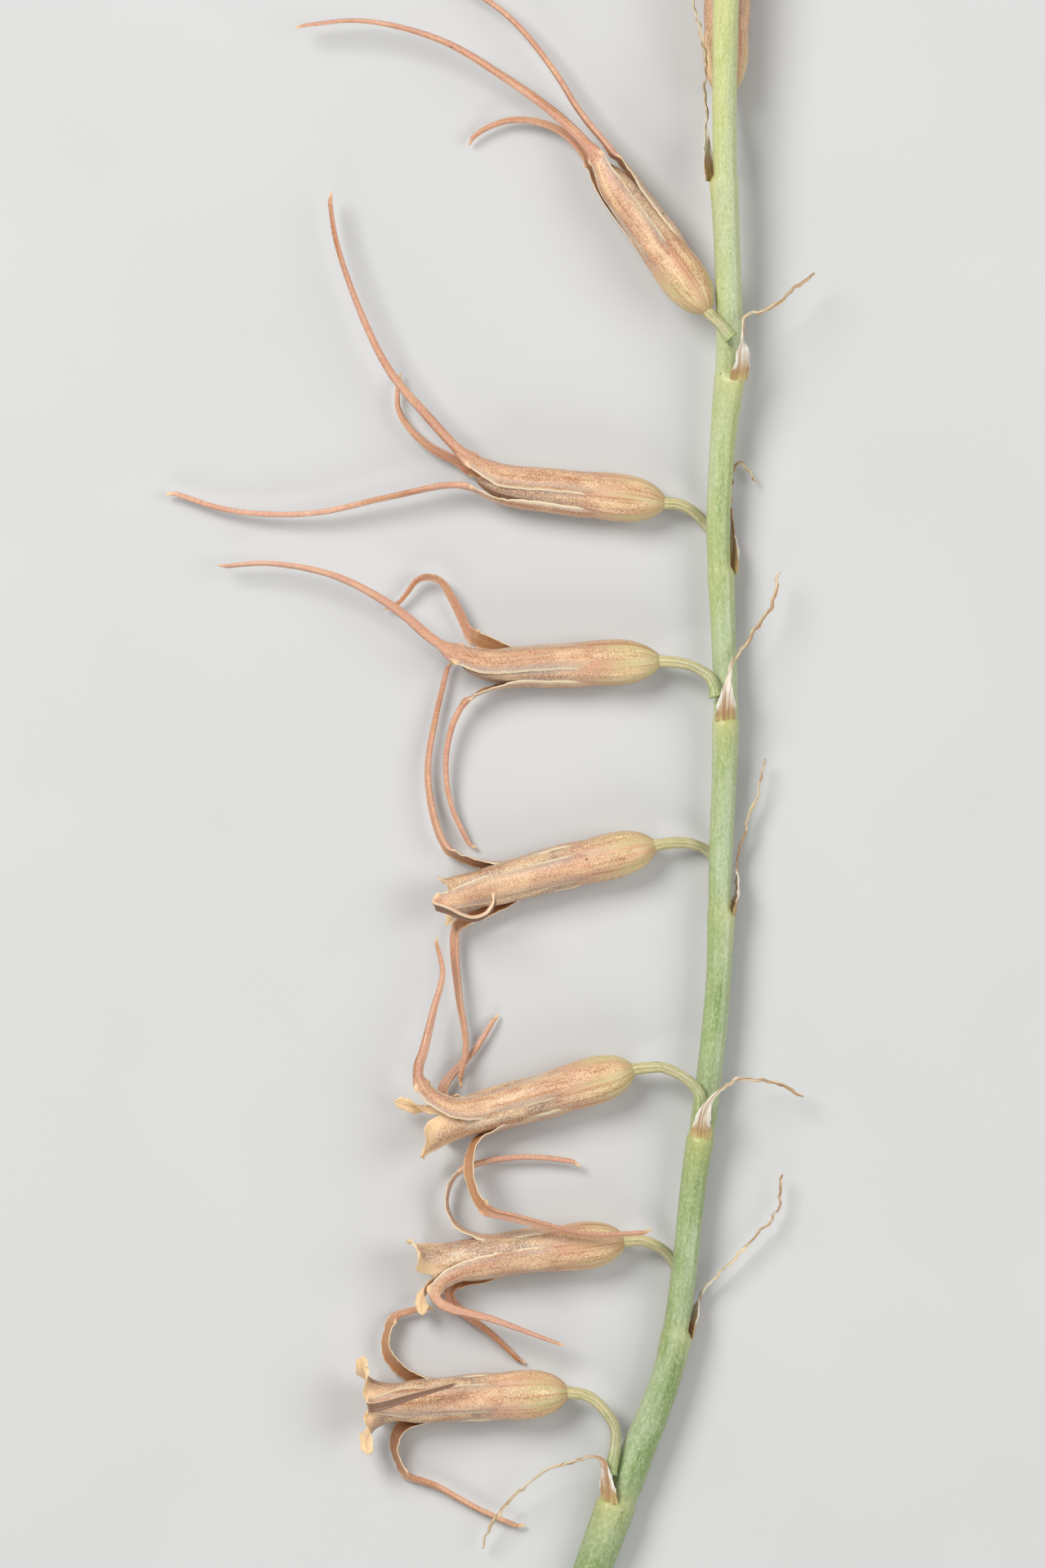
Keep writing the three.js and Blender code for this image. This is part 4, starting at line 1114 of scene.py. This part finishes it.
def build_outer_tepals(settings, material):
    for i, node in enumerate(sorted(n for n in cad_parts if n.startswith("outer_tepal_"))):
        shell = outer_tepal_shell(node, settings, 100 + 5 * i)
        make_piece(node.replace("outer_tepal", "tepal_skin"), [shell], material, node)


def build_bract(number, material):
    strap = Strap(f"bract_{number}", lead=0.25)
    count, points_across = BRACT_MESH
    s = np.linspace(strap.knots[0], strap.length, count)
    middle, lateral, outward, width, bend = strap.at(s)
    across, inside = flat_section(points_across)
    u = across[None]
    seed = 300 + 4 * number
    sheath = 1 - step_up(1.6, 3.4, s)[:, None]
    start = 1 - step_up(-0.25, 0.5, s)[:, None]
    width = width[:, None] * (1 + 0.12 * wobble(2.2 * s, seed)[:, None] * (1 - start))
    width = np.maximum(width, 0.2) * (1 - 0.5 * step_up(strap.length - 0.8, strap.length, s)[:, None])
    twist = 0.9 * wobble(0.8 * s, seed + 1)[:, None] * (1 - sheath)
    x, z = arc_place(u, width, bend[:, None])
    crumple = 0.07 * wobble(4 * s[:, None] + 4 * u, seed + 2) * (0.3 + np.abs(u)) * (1 - start)
    z = z + crumple * (0.5 + 0.5 * sheath)
    pleats = 0.03 * np.cos(9 * u) * sheath
    half = (0.035 + 0.02 * (1 - sheath)) * (0.4 + 0.6 * np.sqrt(np.clip(1 - u**2, 0, 1)))
    z = z + pleats + np.where(inside[None] > 0, -half, half)
    x, z = x * np.cos(twist) - z * np.sin(twist), x * np.sin(twist) + z * np.cos(twist)
    drift = 0.12 * (1 - sheath) * step_up(2.5, 4.5, s)[:, None]
    x = x + drift * wobble(1.9 * s, seed + 3)[:, None]
    z = z + np.maximum(drift * wobble(1.7 * s, seed + 4)[:, None], -0.1)
    rings = middle[:, None] + lateral[:, None] * x[..., None] + outward[:, None] * z[..., None]
    rings[..., 2] = np.maximum(rings[..., 2], CAD_BOX[0][2] / MM + 0.03)
    shape = (len(s), len(across))
    shell = loft(
        rings,
        rings[0].mean(axis=0),
        rings[-1].mean(axis=0),
        flow=flow_of(x, s[:, None], seed),
        along=np.broadcast_to(np.clip((s[:, None] + 0.25) / 8, 0, 1), shape),
        margin=np.abs(u) * (0.3 + 0.7 * sheath) * step_up(-0.2, 1.2, s)[:, None],
    )
    return make_piece(f"bract_skin_{number}", [shell], material, f"bract_{number}")


def build_bud(number, settings, material):
    node = f"bud_{number}"
    stack = started_near(ring_stack(node, TUBE_SIDES), pedicel_stack(number)[2])
    foot, cad_rings, last = stack
    axis = unit(last - foot)
    length = float((last - foot) @ axis)
    girth = np.linalg.norm(cad_rings[2] - cad_rings[2].mean(axis=0), axis=1).mean()
    side = unit(np.cross(axis, [0.0, 0.0, 1.0]))
    up = np.cross(side, axis)
    t = np.concatenate([np.linspace(0, 0.1, 14, endpoint=False), np.linspace(0.1, 1, 90)])
    radius = np.convolve(np.pad(profile(BUD_PROFILE, t), 2, mode="edge"), [0.2] * 5, mode="valid")
    angle = np.linspace(0, 2 * math.pi, settings.around, endpoint=False)
    twist = 0.5 * t[:, None]
    seams = -0.07 * bell(np.abs(np.sin(1.5 * (angle[None] + twist))), 0, 0.12)
    ribs = 0.02 * np.cos(12 * (angle[None] + twist))
    r = girth * radius[:, None] * (1 + seams + ribs)
    rings = (
        foot
        + (t * length)[:, None, None] * axis
        + (r * np.cos(angle))[..., None] * up
        + (r * np.sin(angle))[..., None] * side
    )
    shape = (len(t), settings.around)
    shell = loft(
        rings,
        foot - 0.05 * axis,
        last,
        flow=flow_of(angle[None] * girth, (t * length)[:, None], 400 + number),
        along=np.broadcast_to(t[:, None], shape),
        rib=np.broadcast_to(0.5 + 0.5 * np.cos(12 * (angle[None] + twist)), shape),
        panel=np.zeros(shape),
        side=np.zeros(shape),
        margin=np.zeros(shape),
        inside=np.zeros(shape),
        dark=np.zeros(shape),
        tip=np.broadcast_to(0.7 * step_up(0.9, 1, t)[:, None], shape),
    )
    return make_piece(f"bud_skin_{number}", [shell], material, node)


# ---- the stage ----


def add_light(name, power, size, place, aim):
    data = bpy.data.lights.new(name, "AREA")
    data.shape = "DISK"
    data.size = size
    data.energy = power
    lamp = bpy.data.objects.new(name, data)
    bpy.context.scene.collection.objects.link(lamp)
    lamp.location = place
    lamp.rotation_euler = (aim - place).to_track_quat("-Z", "Y").to_euler()


def build_stage(settings, colours):
    scene = bpy.context.scene
    low, high = (Vector(corner) for corner in CAD_BOX)
    aim = Vector((low.x + AIM[0] * (high.x - low.x), low.y + AIM[1] * (high.y - low.y), 0.002))
    camera_data = bpy.data.cameras.new("camera")
    camera_data.sensor_width = 36.0
    camera_data.lens = camera_data.sensor_width * settings.camera_height / settings.field_length
    camera_data.clip_start = 0.01
    camera_data.clip_end = 20.0
    camera = bpy.data.objects.new("camera", camera_data)
    scene.collection.objects.link(camera)
    camera.location = aim + Vector((0, 0, settings.camera_height))
    scene.camera = camera

    size = BOARD_HALF
    mesh = bpy.data.meshes.new("board")
    corners = [(-size, -size, 0), (size, -size, 0), (size, size, 0), (-size, size, 0)]
    mesh.from_pydata(corners, [], [(0, 1, 2, 3)])
    mesh.materials.append(floor_finish(colours.board))
    board = bpy.data.objects.new("board", mesh)
    board.location.z = low.z - 0.00002
    scene.collection.objects.link(board)

    for name, share, size, offset in LIGHTS:
        add_light(name, share * settings.light_power, size, aim + Vector(offset), aim)

    world = bpy.data.worlds.new("studio")
    world.use_nodes = True
    world.node_tree.nodes["Background"].inputs["Color"].default_value = (0.9, 0.93, 1.0, 1.0)
    world.node_tree.nodes["Background"].inputs["Strength"].default_value = 0.28
    scene.world = world
    scene.view_settings.view_transform = "Standard"


# ---- operators ----


def settings_now():
    return bpy.context.scene.flower_spike


def colours_now():
    return bpy.context.scene.flower_spike_colours


class SPIKE_OT_stage(bpy.types.Operator):
    """Lay the pale board and set the camera and the lights"""

    bl_idname = "flower_spike.stage"
    bl_label = "Stage"

    def execute(self, context):
        build_stage(settings_now(), colours_now())
        return {"FINISHED"}


class SPIKE_OT_stem(bpy.types.Operator):
    """Grow the stem's skin, with a cushion under each bract and a cut lower end"""

    bl_idname = "flower_spike.stem"
    bl_label = "Stem"

    def execute(self, context):
        build_stem(settings_now(), stem_finish(colours_now()))
        return {"FINISHED"}


class SPIKE_OT_pedicels(bpy.types.Operator):
    """Grow the stalks of the flowers and buds"""

    bl_idname = "flower_spike.pedicels"
    bl_label = "Pedicels"

    def execute(self, context):
        material = pedicel_finish(colours_now())
        for number in flower_numbers() + bud_numbers():
            build_pedicel(number, material)
        return {"FINISHED"}


class SPIKE_OT_perianths(bpy.types.Operator):
    """Grow the fused tubes with their inner tepals"""

    bl_idname = "flower_spike.perianths"
    bl_label = "Perianth Tubes"

    def execute(self, context):
        colours = colours_now()
        stops = (
            (0.0, colours.foot), (0.1, colours.foot), (0.22, colours.tan), (0.45, colours.tan),
            (0.62, colours.mauve),
        )
        material = petal_finish("tube skin", colours, stops, 0.75, 0.8, colours.lip)
        for number in flower_numbers():
            build_perianth(number, settings_now(), material)
        return {"FINISHED"}


class SPIKE_OT_outer_tepals(bpy.types.Operator):
    """Grow the outer tepals with their long tails"""

    bl_idname = "flower_spike.outer_tepals"
    bl_label = "Outer Tepals"

    def execute(self, context):
        colours = colours_now()
        stops = ((0.2, colours.tan), (0.5, colours.tan), (0.68, colours.tail), (1.0, colours.tail))
        material = petal_finish("outer tepal skin", colours, stops, 0.8, 0.6, colours.inner)
        build_outer_tepals(settings_now(), material)
        return {"FINISHED"}


class SPIKE_OT_bracts(bpy.types.Operator):
    """Grow the papery bracts with their threads"""

    bl_idname = "flower_spike.bracts"
    bl_label = "Bracts"

    def execute(self, context):
        material = bract_finish(colours_now())
        for number in flower_numbers() + bud_numbers():
            build_bract(number, material)
        return {"FINISHED"}


class SPIKE_OT_buds(bpy.types.Operator):
    """Grow the young buds at the tip"""

    bl_idname = "flower_spike.buds"
    bl_label = "Buds"

    def execute(self, context):
        colours = colours_now()
        stops = ((0.0, colours.foot), (0.3, colours.bud), (1.0, colours.tan))
        material = petal_finish("bud skin", colours, stops, 0.6, 0.4, colours.inner)
        for number in bud_numbers():
            build_bud(number, settings_now(), material)
        return {"FINISHED"}


PIECE_OPERATORS = (
    SPIKE_OT_stage,
    SPIKE_OT_stem,
    SPIKE_OT_pedicels,
    SPIKE_OT_perianths,
    SPIKE_OT_outer_tepals,
    SPIKE_OT_bracts,
    SPIKE_OT_buds,
)


class SPIKE_PT_panel(bpy.types.Panel):
    """Lists the spike's pieces and its settings"""

    bl_idname = "SPIKE_PT_panel"
    bl_label = "Flower Spike"
    bl_space_type = "VIEW_3D"
    bl_region_type = "UI"
    bl_category = "Flower Spike"

    def draw(self, context):
        for operator in PIECE_OPERATORS:
            self.layout.operator(operator.bl_idname)
        for group in (settings_now(), colours_now()):
            for key in group.__annotations__:
                self.layout.prop(group, key)


CLASSES = (FlowerSpikeColours, FlowerSpikeSettings, *PIECE_OPERATORS, SPIKE_PT_panel)


def register():
    for cls in CLASSES:
        bpy.utils.register_class(cls)
    bpy.types.Scene.flower_spike = PointerProperty(type=FlowerSpikeSettings)
    bpy.types.Scene.flower_spike_colours = PointerProperty(type=FlowerSpikeColours)


def unregister():
    del bpy.types.Scene.flower_spike_colours
    del bpy.types.Scene.flower_spike
    for cls in reversed(CLASSES):
        bpy.utils.unregister_class(cls)


def main():
    register()
    bpy.ops.flower_spike.stage()
    bpy.ops.flower_spike.stem()
    bpy.ops.flower_spike.pedicels()
    bpy.ops.flower_spike.perianths()
    bpy.ops.flower_spike.outer_tepals()
    bpy.ops.flower_spike.bracts()
    bpy.ops.flower_spike.buds()


if __name__ == "__main__":
    main()
